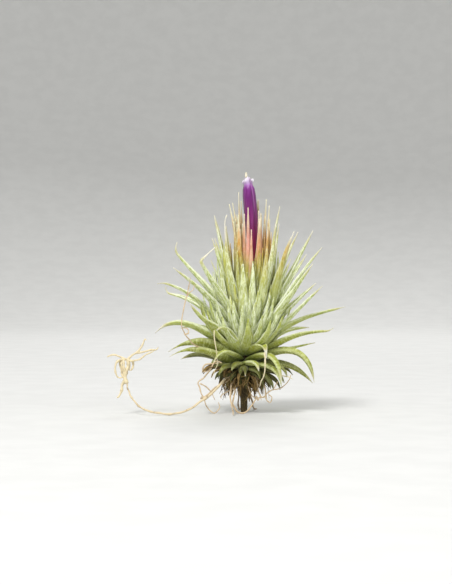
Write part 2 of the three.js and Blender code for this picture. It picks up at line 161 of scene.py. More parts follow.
def put_piece(name, shells, material, nodes=()):
    """Makes the piece, dresses it, and lets it ride on the plant in place of the named nodes."""
    mesh = skin_mesh(name, shells)
    mesh.materials.append(material)
    piece = bpy.data.objects.new(name, mesh)
    bpy.context.scene.collection.objects.link(piece)
    if nodes:
        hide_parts(*nodes)
    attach(piece, "root")
    made["pieces"] += 1
    made["triangles"] += sum(2 * len(outlines) * outlines.shape[1] for outlines, _ in shells)


# %% [markdown]
# ## Node helper
#
# Every material below is a small graph of nodes. One helper adds a node, sets its properties and fills or
# links its sockets. Three more write down what recurs in all of them: a grain that is stretched along the
# piece, how much of each place a coat covers, and which coats lie over one another. Colours are written as
# sRGB hex values, as a picture editor shows them, and turned to the linear values that the renderer uses.

# %% Node helper
def linear(hex_colour):
    """sRGB hex to linear RGBA: c / 12.92 below 0.04045, else ((c + 0.055) / 1.055) ^ 2.4."""
    c = np.array([int(hex_colour[i : i + 2], 16) for i in (1, 3, 5)]) / 255
    c = np.where(c <= 0.04045, c / 12.92, ((c + 0.055) / 1.055) ** 2.4)
    return (*c.tolist(), 1.0)


def add(tree, kind, inputs=None, stops=None, **settings):
    """Adds one node. inputs maps a socket to a value or to the socket that feeds it; stops are a ramp's
    (place, hex colour) pairs; settings are the node's own properties."""
    node = tree.nodes.new(kind)
    for key, value in settings.items():
        setattr(node, key, value)
    for key, value in (inputs or {}).items():
        if isinstance(value, bpy.types.NodeSocket):
            tree.links.new(value, node.inputs[key])
        else:
            node.inputs[key].default_value = linear(value) if isinstance(value, str) else value
    if stops:
        ramp = node.color_ramp.elements
        while len(ramp) < len(stops):
            ramp.new(0.5)
        for element, (place, colour) in zip(ramp, stops):
            element.position, element.color = place, linear(colour)
    return node


def new_material(name):
    """An empty material and its tree."""
    material = bpy.data.materials.new(name)
    material.use_nodes = True
    material.node_tree.nodes.clear()
    return material, material.node_tree


def finish_material(material, surface, relief=None, strength=0.0, deep_mm=0.0):
    """Ends a material. The relief becomes a bump deep_mm deep, and it and surface, the shader's values by
    their socket names, go through the shader to the output."""
    tree = material.node_tree
    if relief is not None:
        bump = add(tree, "ShaderNodeBump", {"Height": relief, "Strength": strength, "Distance": deep_mm * MM})
        surface = {**surface, "Normal": bump.outputs[0]}
    shader = add(tree, "ShaderNodeBsdfPrincipled", surface)
    add(tree, "ShaderNodeOutputMaterial", {"Surface": shader.outputs[0]})
    print("material:", material.name, "nodes:", len(tree.nodes))
    return material


# %% Grain, masks and coats
def grain(tree, skin_mm, per_mm, detail, roughness=0.5):
    """Noise whose grains are 1 / per_mm in size, across, along and inwards: noise of place times per_mm."""
    place = add(tree, "ShaderNodeVectorMath", {0: skin_mm, 1: per_mm}, operation="MULTIPLY").outputs[0]
    noise = {"Vector": place, "Scale": 1.0, "Detail": detail, "Roughness": roughness}
    return add(tree, "ShaderNodeTexNoise", noise).outputs[0]


def mask(tree, *factors):
    """How far a coat covers each place: the product of the factors, held between 0 and 1. A factor is a
    number, a socket, or a smooth step (value, low, high, at low, at high), with ends 0 and 1 if left out."""
    product = None
    for factor in factors:
        if isinstance(factor, tuple):
            value, low, high, at_low, at_high = (*factor, 0.0, 1.0)[:5]
            step = {"Value": value, "From Min": low, "From Max": high, "To Min": at_low, "To Max": at_high}
            factor = add(tree, "ShaderNodeMapRange", step, interpolation_type="SMOOTHSTEP").outputs[0]
        if product is not None:
            pair = {0: product, 1: factor}
            factor = add(tree, "ShaderNodeMath", pair, operation="MULTIPLY", use_clamp=True).outputs[0]
        product = factor
    return product


def paint(tree, colour, *coats):
    """The colour with coats laid over it in turn, each mixed in by its mask. A coat is (the factors of its
    mask, its colour), with a blend type at the end where it isn't a plain mix."""
    for factors, over, *blend in coats:
        mix = {0: mask(tree, *factors), 6: colour, 7: over}
        colour = add(tree, "ShaderNodeMix", mix, data_type="RGBA", blend_type=(*blend, "MIX")[0]).outputs[2]
    return colour


# %% [markdown]
# ## The leaf's skin
#
# An ionantha leaf is green and fleshy, and its whole skin is covered in trichomes: tiny silvery scales that
# drink the dew. They make the leaf look sugared, lie in rows along it, and crowd at the thin margins, which
# shine nearly white. Old leaves at the bottom have lost many scales, keep the rest in pale crosswise bands,
# and are a deeper yellow green. The heart leaves blush, the higher the more: yellow, then orange, then peach
# and cream, some with pink. Every leaf ends in a dry thread.
#
# Each leaf could have a material of its own, but one is enough: each leaf carries its own numbers for age,
# blush and dryness, and coats laid over its green read them. The age number also lays painted shade: at the
# foot of every leaf, where the leaves crowd round the stem, and over the oldest leaves under the rosette. The
# scales are drawn as grains 0.4 mm wide and 2 mm long, because single ones are too fine to show.

# %% Leaf material
FRESH_BY_AGE = [
    (0.0, "#bcbc58"),
    (0.12, "#c0c264"),
    (0.34, "#c8d298"),
    (0.6, "#b4bf6c"),
    (0.85, "#a6ad3c"),
    (1.0, "#8d9128"),
]
BLUSH_BY_HEIGHT = [
    (0.42, "#b2bb66"),
    (0.50, "#b8b857"),
    (0.57, "#c0ad4e"),
    (0.61, "#c9a04e"),
    (0.66, "#d59f55"),
    (0.72, "#deae6c"),
    (0.80, "#e3c392"),
]
CREAM_TIP = "#ebe3c6"
PINK_BLUSH = "#e4a294"
SILVER_SCALE = "#f0f6d8"
BAND_SCALE = "#d5dd96"
PALE_MARGIN = "#f0f4dc"
# painted shade laid on the foot of every leaf, where the leaves crowd round the stem
PAINTED_FOOT_SHADE = "#434f10"
# painted shade over the oldest leaves, which hang in the shade under the rosette
PAINTED_UNDER_SHADE = "#3b3a12"
DRY_TAN = "#c6bc90"
DRY_THREAD = "#ddd9ca"
PATCH_SHADE = "#8a9648"
SCALE_MM = 0.42
SCALES_PER_MM = (1 / SCALE_MM, 0.2 / SCALE_MM, 1.0)
BANDS_PER_MM = (0.55, 1.5, 1.0)  # each band is 0.7 mm of the leaf's length, and 1.8 mm across
PATCHES_PER_MM = 0.16  # patches of 6 mm
RIBS_PER_MM = 0.42  # wave scale: ribs about 0.7 mm apart
RIB_RELIEF, BAND_RELIEF = 0.35, 0.8


def make_leaf_material():
    """Scurfy living skin. Age sets its green, height the blush, and dryness where it turns to a pale thread.
    Over these lie shaded patches, rows of silver scales, bands, the pale margin, painted shade at the foot
    and painted shade over the oldest leaves."""
    material, tree = new_material("scurfy_leaf_skin")
    blade = add(tree, "ShaderNodeAttribute", attribute_name="blade").outputs["Vector"]
    along, across, height = add(tree, "ShaderNodeSeparateXYZ", {0: blade}).outputs
    growth = add(tree, "ShaderNodeAttribute", attribute_name="growth").outputs["Vector"]
    age, blush, dry = add(tree, "ShaderNodeSeparateXYZ", {0: growth}).outputs
    skin_mm = add(tree, "ShaderNodeAttribute", attribute_name="skin_mm").outputs["Vector"]

    scales = grain(tree, skin_mm, SCALES_PER_MM, 2.0, 0.65)
    bands = grain(tree, skin_mm, BANDS_PER_MM, 1.5, 0.6)
    blotches = {"Vector": skin_mm, "Scale": PATCHES_PER_MM, "Detail": 2.0}
    patches = add(tree, "ShaderNodeTexNoise", blotches).outputs[0]
    waves = {"Vector": skin_mm, "Scale": RIBS_PER_MM, "Distortion": 1.2, "Detail": 1.0}
    ribs = add(tree, "ShaderNodeTexWave", waves, bands_direction="X").outputs["Fac"]

    fresh = add(tree, "ShaderNodeValToRGB", {0: age}, FRESH_BY_AGE).outputs[0]
    heart = add(tree, "ShaderNodeValToRGB", {0: height}, BLUSH_BY_HEIGHT).outputs[0]
    pinker = mask(tree, (blush, 1.0, 2.0), (along, 0.45, 0.75))
    heart = paint(
        tree,
        heart,
        ([pinker], PINK_BLUSH),
        ([(along, 0.78, 0.97), (height, 0.62, 0.72)], CREAM_TIP),
        ([pinker, 0.4], PINK_BLUSH),
    )
    scaly = mask(tree, (age, 0.35, 0.9, 0.74, 0.1), (age, 0.04, 0.3, 0.4, 1.0), (blush, 0.0, 1.0, 1.0, 0.35))
    at_margin = [(across, 0.72, 0.92, 0.0, 0.95), (age, 0.5, 1.05, 1.0, 0.1), (along, 0.1, 0.4)]
    past_dry = add(tree, "ShaderNodeMath", {0: along, 1: dry}, operation="SUBTRACT").outputs[0]
    colour = paint(
        tree,
        fresh,
        ([(blush, 0.0, 1.0)], heart),
        ([(patches, 0.3, 0.7, 0.0, 0.3)], PATCH_SHADE, "MULTIPLY"),
        ([(scales, 0.43, 0.58), scaly], SILVER_SCALE),
        ([(bands, 0.48, 0.64, 0.0, 0.55), (age, 0.6, 0.85)], BAND_SCALE),
        ([*at_margin, (blush, 0.2, 1.0, 1.0, 0.3), (scales, 0.3, 0.6, 0.65, 1.0)], PALE_MARGIN),
        # painted shade at each leaf's foot, stronger on older leaves
        ([(along, 0.02, 0.36, 1.0, 0.0), (age, 0.1, 0.9, 0.5, 0.9)], PAINTED_FOOT_SHADE),
        # painted shade over leaves whose ages run above 0.95
        ([(age, 0.95, 1.3, 0.0, 0.88)], PAINTED_UNDER_SHADE),
        ([(past_dry, -0.12, 0.0, 0.0, 0.6)], DRY_TAN),
        ([(past_dry, -0.03, 0.06, 0.0, 0.9)], DRY_THREAD),
    )
    relief = scales
    for pattern, raised in ((ribs, RIB_RELIEF), (bands, BAND_RELIEF)):
        added = {0: pattern, 1: raised, 2: relief}
        relief = add(tree, "ShaderNodeMath", added, operation="MULTIPLY_ADD").outputs[0]
    fleshy_skin = {
        "Base Color": colour,
        "Roughness": 0.62,
        "IOR": 1.42,
        "Subsurface Weight": 0.2,
        "Subsurface Radius": (1.0, 1.0, 0.5),
        "Subsurface Scale": 0.0015,
        "Specular IOR Level": 0.35,
        "Sheen Weight": 0.12,
        "Sheen Roughness": 0.45,
    }
    return finish_material(material, fleshy_skin, relief, strength=0.6, deep_mm=0.18)


leaf_skin = make_leaf_material()

# %% [markdown]
# ## The shape of one leaf
#
# A leaf leaves the stem at one angle and arrives at its tip at another, so its middle line is a cubic
# curve in an upright plane. Across, the leaf is a gutter: broad and clasping at the foot, then a deep U
# that closes towards the tip and ends as a thread. The gutter is a piece of a circle with a thick middle
# and thin margins. A flat blade could be bent and thickened instead, but the circle gives the true fleshy
# section. All of it is worked out for every point at once.

# %% The stem that carries the leaves
STEM_Z = [0, 5, 11, 17, 24, 30, 35, 38.5]
STEM_R = [1.25, 1.4, 2.3, 3.6, 3.9, 3.1, 1.9, 1.3]
STEM_TOP, STEM_LEAN, LEAN_START = 38.5, 3.6, 12


def stem_radius(z):
    """The stem's radius, straight between the given heights."""
    return np.interp(z, STEM_Z, STEM_R)


def stem_shift(z):
    """How far the stem's middle has moved to the right: 3.6 t^2, with t from 0 at 12 mm to 1 at the top."""
    t = np.maximum(0, np.asarray(z, float) - LEAN_START) / (STEM_TOP - LEAN_START)
    return STEM_LEAN * t * t


print("stem:", STEM_TOP, "mm high, with its top", STEM_LEAN, "mm to the right")

# %% Leaf line
FOOT_GAP = 0.4  # mm between the stem and a leaf's foot
LEAF_THICK = 1.05  # mm


def turned(vectors, axis, angle):
    """Each vector turned about its axis by its angle: v cos + (k x v) sin + k (k.v)(1 - cos)."""
    cos, sin = np.cos(angle)[:, None], np.sin(angle)[:, None]
    along = (vectors * axis).sum(-1, keepdims=True)
    return vectors * cos + np.cross(axis, vectors) * sin + axis * along * (1 - cos)


def steps_to_length(line):
    """How far along the line each of its stations is: the lengths of the steps, added up."""
    return np.concatenate([[0], np.cumsum(np.linalg.norm(np.diff(line, axis=0), axis=1))])


def leaf_line(u, turn, base, rise, reach, tip, end, pull=0.42, bends=()):
    """The middle line and its frames. In the plane at azimuth turn, a Bezier curve runs from the stem at
    height base, leaving at angle rise, to (reach, tip), arriving at angle end. Its steps are then turned by
    the bends, each (from, to, up degrees, side degrees), and added up again."""
    turn, rise, end = np.radians([turn, rise, end])
    start = np.array([stem_radius(base) + FOOT_GAP + 0.5 * LEAF_THICK * np.sin(rise), base])
    stop = np.array([reach, tip], float)
    handle = pull * np.linalg.norm(stop - start)
    leave = start + handle * np.array([np.cos(rise), np.sin(rise)])
    arrive = stop - handle * np.array([np.cos(end), np.sin(end)])
    t = u[:, None]
    flat = (1 - t) ** 3 * start + 3 * (1 - t) ** 2 * t * leave + 3 * (1 - t) * t**2 * arrive + t**3 * stop
    out = np.array([np.cos(turn), np.sin(turn), 0])
    side = np.array([-np.sin(turn), np.cos(turn), 0])
    line = flat[:, :1] * out + flat[:, 1:] * np.array([0, 0, 1])
    line[:, 0] += stem_shift(base)
    for begin, finish, up, aside in bends:
        steps = np.diff(line, axis=0)
        share = smooth((0.5 * (u[1:] + u[:-1]) - begin) / (finish - begin))
        steps = turned(steps, np.broadcast_to(-side, steps.shape), np.radians(up) * share)
        lift = np.cross(unit(steps), side)
        steps = turned(steps, unit(lift), np.radians(aside) * share)
        line = np.concatenate([line[:1], line[0] + np.cumsum(steps, 0)])
    forward = unit(np.gradient(line, axis=0))
    side = unit(side - (forward @ side)[:, None] * forward)
    return line, side, np.cross(forward, side), forward


# %% Leaf gutter
LEAF_STATIONS, LEAF_AROUND = 60, 20
CROWDED = 0.92  # below 1, the stations stand closer towards the tip
TWIST_SHAKE, TWIST_DONE = 7, 0.9  # degrees of random twist, and the share of the length it builds up over
NARROWS_OVER, FULLEST = 0.82, 1.06  # the share of the length that tapers, and the most that it bulges first
SHEATH_END = 0.28  # the share of the length that clasps
RIPPLE = 0.03  # share of the width
THREAD_HALF = 0.15  # mm, half the width of the thread at the tip
FOOT_CURL, CURL_DONE = 58, 0.3  # the most degrees of curl at the foot, and where the full curl is reached
CLOSE_FROM, CLOSE_OVER = 0.7, 0.28  # where the tip begins to close, and over what share of the length
KEEL = 0.25  # how much thicker the underside is along its middle


def leaf_shell(
    rng, turn, base, rise, reach, tip, end, wide, age=0.5, blush=0.0, dry=0.95, curl=76, close=30, foot=1.1,
    twist=0.0, thick=LEAF_THICK, belly=0.38, taper=0.92, **line_words,
):
    """The closed gutter of one leaf. At share v across, from -1 to 1, the point lies at angle v * curl on a
    circle of radius half / sin(curl), moved in or out by the thickness, which follows sqrt(1 - v^2). belly is
    the part of the thickness that lies on the hollow side. half shrinks to the tip as (1 - u)^taper; foot is
    how much broader the clasping end is, and close is how many degrees more the margins curl at the tip."""
    u = np.linspace(0, 1, LEAF_STATIONS) ** CROWDED
    line, side, lift, forward = leaf_line(u, turn, base, rise, reach, tip, end, **line_words)
    roll = np.radians(twist + rng.normal(0, TWIST_SHAKE)) * smooth(u / TWIST_DONE)
    side, lift = turned(side, forward, roll), turned(lift, forward, roll)
    length = steps_to_length(line)

    narrowing = np.minimum(((1 - u) / NARROWS_OVER) ** taper, FULLEST)
    sheath = foot + (1 - foot) * smooth(u / SHEATH_END)
    ripple = 1 + RIPPLE * np.sin(2 * np.pi * (u * rng.uniform(2, 4) + rng.uniform()))
    half = np.maximum(THREAD_HALF, 0.5 * wide * sheath * narrowing * ripple)
    thickness = np.minimum(thick * (0.35 + 0.65 * (1 - u) ** 0.8), 1.5 * half)
    foot_curl = min(curl, FOOT_CURL)
    closing = foot_curl + (curl - foot_curl) * smooth(u / CURL_DONE)
    closing = np.radians(closing + close * smooth((u - CLOSE_FROM) / CLOSE_OVER))

    phase = 2 * np.pi * np.arange(LEAF_AROUND) / LEAF_AROUND
    v, under = -np.cos(phase), np.sin(phase)
    depth = np.where(under > 0, belly - 1, -belly) * under * (1 + KEEL * (1 - np.abs(v)) * (under > 0))
    radius = (half / np.sin(np.minimum(closing, np.pi / 2)))[:, None]
    angle = v * closing[:, None]
    away = radius - depth * thickness[:, None]
    points = (
        line[:, None]
        + side[:, None] * (away * np.sin(angle))[..., None]
        + lift[:, None] * (radius - away * np.cos(angle))[..., None]
    )
    full = np.ones(angle.shape)
    own_place = full * rng.uniform(0, 90) + 5 * (under < 0)  # no two skins share a place in the pattern
    marks = {
        "blade": np.stack([u[:, None] * full, np.abs(v) * full, points[..., 2] / 100], -1),
        "skin_mm": np.stack([angle * radius, length[:, None] * full, own_place], -1),
        "growth": np.stack([full * age, full * blush, full * dry], -1),
    }
    return points, marks


# %% [markdown]
# ## The leaves that the imported model holds
#
# Forty-five leaves of the rosette are solids in the imported model. Each row gives the azimuth, the height
# on the stem, the angle at the stem, the reach and height of the tip, the angle at the tip and the width.
# Nearly the same numbers are used here, so that each fine leaf takes the place of its solid. All leaves are
# made broader, so that the rosette closes up, and a few low ones are thicker or hang a little differently.

# %% Rosette of the imported model
# in the rows below, ages above 0.95 also lay painted shade over the leaf
NARROW_FOOT = {"foot": 0.7, "curl": 44}
LOW = [
    (-122, 20.2, 26, 21.5, 20, -48, 2.8, {"thick": 1.9}),
    (-50, 19.4, 30, 21, 11.8, -82, 4.4, {"pull": 0.55, "dry": 0.9}),
    (-88, 16.6, 4, 11, 14.4, -72, 2.2, {"age": 1.2}),
    (-68, 18.3, 6, 14, 16.4, -58, 4.1, {"dry": 0.9}),
    (-12, 19.8, 26, 26.5, 11.7, -80, 4.8, {"pull": 0.56, "thick": 3.2}),
    (8, 17.5, 12, 26.2, 10.8, -46, 4.2, {"age": 0.98, "thick": 3}),
    (48, 17, 18, 25, 12.5, -62, 4.8, {}),
    (88, 16.5, 15, 26, 13, -55, 4.4, {}),
    (124, 17.5, 18, 25, 13.5, -60, 4.4, {}),
    (158, 18, 15, 26.5, 19.5, -22, 4.6, {"thick": 2.8, "age": 1.2}),
]
SPREADING = [
    (-174, 20.6, 47, 29, 23, -36, 6.3, {"thick": 4.2, "age": 0.9, "taper": 1.3, "curl": 40}),
    (-158, 18.6, 28, 30, 21.6, -30, 5, {"thick": 2.8, "age": 1.04, "taper": 1.3, "curl": 40}),
    (176, 23, 36, 34.4, 29.8, -48, 4.6, {"thick": 2.6, "dry": 0.86, "blush": 0.3}),
    (-145, 24.4, 48, 25.4, 41.5, 54, 5, {}),
    (7, 22.8, 46, 38.2, 39.8, 13, 4.6, {}),
    (-11, 21, 32, 34, 31, 0, 4.6, {"bends": ((0.9, 1.0, 40, 0),)}),
    (-60, 22, 30, 15.5, 21.2, -88, 5.2, {"pull": 0.62, "dry": 0.8, "taper": 1.25, "age": 0.8}),
    (-122, 21.8, 38, 19.5, 31.6, -26, 4.6, {}),
    (-86, 24.4, 34, 14.2, 35.6, 92, 4.3, {"pull": 0.45, "dry": 1.1, "close": 10, "age": 0.9, **NARROW_FOOT}),
    (66, 21.5, 36, 31, 31, -8, 4.6, {}),
    (106, 22, 38, 33, 32.5, -12, 4.6, {}),
    (142, 21.6, 36, 32, 31, -18, 4.6, {}),
]
RISING = [
    (162, 24.6, 52, 34.2, 45.2, 8, 4.5, {"bends": ((0.9, 1.0, 75, 0),)}),
    (-173, 25.4, 49, 33.6, 49.6, 14, 4.2, {"bends": ((0.9, 1.0, -25, 20),)}),
    (-154, 27.4, 57, 30.4, 54.6, 36, 4.4, {}),
    (-178, 28.5, 66, 29.6, 63.4, 52, 5, {"bends": ((0.88, 1.0, 60, 0),)}),
    (-136, 28.6, 62, 29, 64.4, 60, 3.6, {"bends": ((0.8, 0.84, 88, 0),), "dry": 0.84, "taper": 1.1}),
    (-22, 29.2, 58, 18.6, 68.2, 66, 5, {"blush": 0.8, "dry": 0.9}),
    (16, 28.2, 60, 26, 68.8, 62, 4.2, {}),
    (-6, 26.5, 54, 28.4, 62.3, 50, 4.2, {}),
    (24, 25, 47, 29.4, 48.8, 40, 4.4, {}),
    (92, 26, 54, 27, 55, 50, 4.4, {}),
    (130, 26.5, 56, 27, 57, 54, 4.4, {}),
]
ERECT = [
    (168, 31, 76, 13.4, 74.4, 78, 4.4, {"blush": 0.0}),
    (-132, 31.5, 68, 14, 74.4, 86, 3, {"bends": ((0.9, 1.0, 0, 30),), "taper": 1.5, "dry": 0.8}),
    (-98, 28.5, 55, 12.5, 56, 90, 4, {"dry": 1.2}),
    (-58, 29, 56, 13.5, 62.5, 84, 4, {"dry": 1.1, "blush": 0.75}),
    (-36, 31.8, 70, 12.2, 71, 84, 3.6, {}),
    (3, 32.2, 72, 11.5, 77.8, 78, 2.8, {"blush": 0.0}),
    (74, 31.5, 72, 11, 72, 84, 3.6, {}),
    (118, 32, 74, 10.5, 75, 86, 3.6, {}),
]
HEART = [
    (-150, 33.8, 84, 9.2, 78.4, 76, 3, {}),
    (-98, 34.4, 72, 7.6, 77, 90, 2.2, {"blush": 2, "taper": 0.7}),
    (172, 36, 82, 5, 83.2, 88, 2.8, {}),
    (34, 35, 78, 7, 80.6, 86, 3, {}),
]
print("rows of the packed model:", len(LOW + SPREADING + RISING + ERECT + HEART))

# %% Growing a tier
BROADER = 1.34  # how much broader each leaf is than its row says
AGE_SHAKE = 0.05


def grow(tier, rows, slot, node=None, share=1, **common):
    """The leaves of one tier, each with its own seed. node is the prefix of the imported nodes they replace,
    and share is how many leaves go into one piece."""
    shells = []
    for number, (*place, wide, own) in enumerate(rows, 1):
        rng = np.random.default_rng([len(tier), ord(tier[0]), number])
        words = {**common, **own}
        words["age"] = max(0, words.get("age", 0.5) + rng.normal(0, AGE_SHAKE))
        shells.append(leaf_shell(rng, *place, wide * BROADER, **words))
    for number in range(0, len(shells), share):
        nodes = [f"{node}_{number + 1:02d}"] if node else []
        name = f"{tier}_leaf_{number + 1:02d}" if share == 1 else f"{tier}_leaves_{number // share + 1:02d}"
        put_piece(name, shells[number : number + share], leaf_skin, nodes)
    print(tier, "leaves:", len(rows))


FLESHY = {"thick": 2.3, "curl": 26, "close": 30, "belly": 0.72, "taper": 0.78}
grow("low", LOW, "deep_green_leaf", "leaf_low", age=0.88, **FLESHY)
grow("spreading", SPREADING, "silver_green_leaf", "leaf_spreading", age=0.72, thick=1.4, curl=62, belly=0.45)
grow("rising", RISING, "silver_green_leaf", "leaf_rising", age=0.5)
grow("erect", ERECT, "silver_green_leaf", "leaf_erect", age=0.3, blush=0.25, taper=0.8)
TENDER = {"age": 0.1, "blush": 1, "dry": 1.3, "thick": 0.8, "curl": 56}
grow("heart", HEART, "blushed_leaf", "leaf_heart", taper=0.9, **TENDER)

# %% [markdown]
# ## The rest of the rosette
#
# The imported model leaves out the leaves that only fill the rosette. The ones that show at the edge and in
# the heart are listed one by one; the broad pale ones between follow the plant's own rule, a new leaf every
# 137.5 degrees, a little higher and steeper than the last. Under the rosette hang its oldest leaves, short
# and dark.
# Their dark olive is mostly painted shade, laid over the deep green of old leaves.

# %% More leaves
OUTER_MORE = [
    (33, 22, 38, 29.5, 31.6, 2, 4.6, {"age": 0.65}),
    (-30, 25.6, 48, 28.2, 56, 52, 4.2, {}),
    (52, 26.5, 56, 28, 58, 56, 4.4, {}),
    (20, 19, 25, 28.8, 25.9, 10, 2.2, {"age": 0.8}),
    (-5, 24, 42, 28.8, 47.8, 45, 4.2, {}),
    (5, 29.5, 66, 19, 68.2, 64, 4, {"blush": 0.3}),
    (38, 27, 55, 29.4, 59.9, 52, 4.2, {}),
    (150, 29, 72, 16.5, 57.6, 62, 2.2, {}),
    (-165, 30, 72, 14.1, 65.6, 72, 3.6, {}),
    (140, 31, 70, 11.4, 70.7, 84, 3.4, {"age": 0.3, "blush": 0.2}),
    (70, 27.5, 58, 24, 60, 58, 4.4, {}),
    (105, 28, 60, 22, 62, 62, 4.4, {}),
    (135, 28.6, 64, 18, 66, 68, 4.2, {}),
    (-80, 29.5, 62, 10, 57, 92, 3.6, {"age": 0.3, "dry": 1.2, "taper": 0.8, "curl": 44}),
    (-4, 31, 70, 11.4, 71.3, 82, 3, {"age": 0.4}),
    (-14, 30.5, 68, 10.6, 64, 86, 3, {"age": 0.4}),
    (-152, 31, 72, 10.2, 70, 84, 3, {"age": 0.35, "taper": 1.1}),
]
# the oldest leaves under the rosette; ages of 0.95 and more lay painted shade over them
UNDER = [
    (-42, 17.4, 16, 18.3, 10.8, -84, 3, {"age": 0.95}),
    (-33, 17.2, 10, 17.2, 11.8, -72, 2.8, {"age": 1.05}),
    (-38, 15.4, -4, 12.6, 9.4, -84, 2.6, {}),
    (-50, 15.2, -8, 11, 10.4, -88, 2.6, {}),
    (-20, 14.8, -10, 11.6, 8.6, -86, 2.8, {}),
    (-82, 14.6, -24, 5.6, 9.4, -90, 2.2, {"age": 1.35}),
    (-104, 14.8, -24, 5.6, 10.4, -90, 2.2, {"age": 1.35}),
    (-114, 17.8, 12, 11.6, 16.4, -52, 3.4, {"age": 1.12}),
    (-134, 17.2, 10, 13.6, 14.6, -66, 3.4, {"age": 1.22}),
    (-146, 15.4, -6, 8.8, 12, -78, 2.8, {}),
    (-124, 15.2, -10, 9, 11.8, -84, 2.6, {}),
    (-166, 15.6, -4, 9.6, 12, -74, 3, {"twist": -20}),
    (-6, 14.8, -8, 13.6, 8.6, -80, 3, {"twist": 20}),
    (12, 15.6, -2, 15.6, 11, -66, 3, {}),
    (38, 14.6, -10, 12, 9, -80, 3.2, {"twist": -35}),
    (64, 14.8, -6, 13, 10.4, -74, 3, {}),
    (84, 15.4, -2, 15, 9.8, -72, 3.2, {"twist": 25}),
    (108, 14.6, -12, 11.4, 9, -82, 3, {}),
    (130, 15.4, 2, 15.6, 11.8, -66, 3.2, {"twist": -25}),
    (152, 15, -10, 10, 10.8, -80, 3, {}),
    (178, 15.4, -2, 11, 12.2, -70, 3.2, {"twist": 30}),
    (-152, 17, 12, 15.4, 15, -60, 3.4, {"age": 1.22}),
    (22, 16.4, 10, 20, 13.6, -50, 3.2, {}),
    (112, 16.8, 14, 20, 14, -58, 3.4, {"age": 1.0}),
    (-26, 17.2, 12, 17.4, 14.2, -74, 3, {"age": 1.1}),
    (-100, 17.2, 0, 8.6, 14.6, -70, 2.8, {"age": 1.2}),
    (-58, 16.4, 2, 11, 13.2, -80, 2.8, {"age": 1.2}),
    (-30, 13.8, -26, 8, 8.4, -88, 2.4, {}),
    (60, 13.6, -26, 6.6, 7.6, -88, 2.6, {"twist": 30}),
    (160, 13.6, -26, 6.8, 7.8, -88, 2.6, {"twist": -30}),
    (110, 13.6, -26, 6.4, 7.6, -88, 2.4, {}),
]
HEART_MORE = [
    (160, 34, 84, 7.3, 79.2, 78, 2.8, {}),
    (130, 35, 76, 5.9, 80, 88, 2.6, {}),
    (-128, 34, 72, 7.4, 74.5, 88, 3, {}),
    (-86, 32.5, 66, 8.4, 68.8, 90, 2.7, {"blush": 1.6}),
    (60, 35, 76, 5.4, 80.6, 86, 3.4, {"taper": 0.6}),
    (-52, 34.5, 72, 6, 75.1, 88, 3.4, {"blush": 1.6}),
    (-20, 33.5, 72, 7.6, 78, 86, 3, {}),
    (-38, 33, 68, 8.6, 70, 88, 4, {}),
    (-142, 33, 78, 7.8, 72, 84, 3.4, {"blush": 0.65}),
    (-160, 34, 80, 6.6, 74, 84, 3.4, {"blush": 0.7}),
    (10, 34, 74, 7.4, 73, 88, 3.4, {}),
    (95, 34, 74, 7, 76, 88, 3.2, {}),
    (-118, 34.5, 78, 5.4, 74.8, 90, 2.8, {"blush": 1.5}),
    (-50, 34.5, 78, 4.6, 76, 90, 2.6, {"blush": 1.4}),
    (-172, 34, 80, 5.8, 71, 90, 3.4, {}),
    (-138, 34, 78, 6.2, 69, 90, 3.4, {"blush": 1.2}),
    (-8, 34.5, 78, 5, 71, 90, 3.2, {}),
    (-28, 34, 76, 5.8, 67, 92, 3.4, {}),
    (-155, 33.4, 80, 6.4, 68, 90, 3.8, {"blush": 0.65}),
    (25, 34, 76, 6.2, 68, 90, 3.4, {}),
    (60, 34, 78, 6, 70, 90, 3.4, {}),
    (118, 34, 78, 6.4, 70, 90, 3.4, {}),
    (-164, 33.6, 82, 5.8, 72, 88, 4, {}),
    (172, 33.8, 82, 5.6, 73, 88, 4, {}),
    (150, 33.8, 76, 5.4, 74, 88, 3.8, {}),
    (-14, 33.6, 76, 6, 73.5, 88, 3.8, {}),
    (8, 33.8, 76, 5.8, 74, 88, 3.8, {}),
    (40, 33.8, 76, 5.4, 75, 88, 3.8, {}),
    (-58, 33.6, 78, 6.9, 73, 89, 4.4, {"blush": 1.4, "taper": 0.7}),
    (-124, 33.6, 78, 7, 69, 90, 3.4, {}),
    (-134, 33.6, 78, 7.2, 71, 88, 3.4, {"blush": 0.65}),
    (-72, 31, 68, 7.4, 58, 90, 3.6, {"blush": 0.7}),
    (-56, 31.4, 70, 7.4, 60, 90, 4, {}),
    (-122, 31, 68, 8.2, 61, 90, 3.4, {"blush": 0.45}),
    (-140, 31.5, 68, 9.4, 59, 88, 3.4, {"blush": 0.4}),
    (-108, 30.5, 66, 8.6, 56, 90, 3.2, {"blush": 0.35}),
    (-95, 31, 68, 7.6, 53, 90, 3, {"blush": 0.35}),
    (-68, 31, 68, 8, 52, 90, 3, {"blush": 0.4}),
    (-55, 31, 68, 8.4, 55, 90, 3.6, {"blush": 0.8}),
    (-40, 31, 68, 8.8, 58, 90, 3.8, {"blush": 0.9}),
    (-25, 31.5, 70, 8.6, 60, 88, 3.6, {"blush": 0.8}),
    (-158, 32, 74, 8.4, 63, 88, 3.8, {"blush": 0.5}),
    (-148, 31, 72, 9, 58, 88, 3.8, {"blush": 0.3}),
    (-12, 33, 74, 9, 66, 88, 3.6, {"blush": 0.9}),
    (-22, 33, 74, 8.6, 68, 88, 3.6, {}),
    (-30, 31, 70, 9, 57, 88, 3.8, {"blush": 0.8}),
    (-45, 32, 72, 7, 62, 90, 3.6, {"blush": 0.8}),
    (-34, 33, 74, 6.6, 66, 90, 3.6, {}),
    (-16, 31, 70, 10, 58, 88, 3.4, {"blush": 0.35}),
    (-60, 33.4, 74, 6.8, 70, 89, 3.8, {}),
]
print("placed by hand:", len(OUTER_MORE), "outer,", len(UNDER), "under and", len(HEART_MORE), "heart leaves")

# %% Leaves by the golden angle
GOLDEN_ANGLE = 137.5
TURN_SHAKE, REACH_SHAKE, TIP_SHAKE = 5, 0.04, 1.5  # degrees, share of the reach, mm


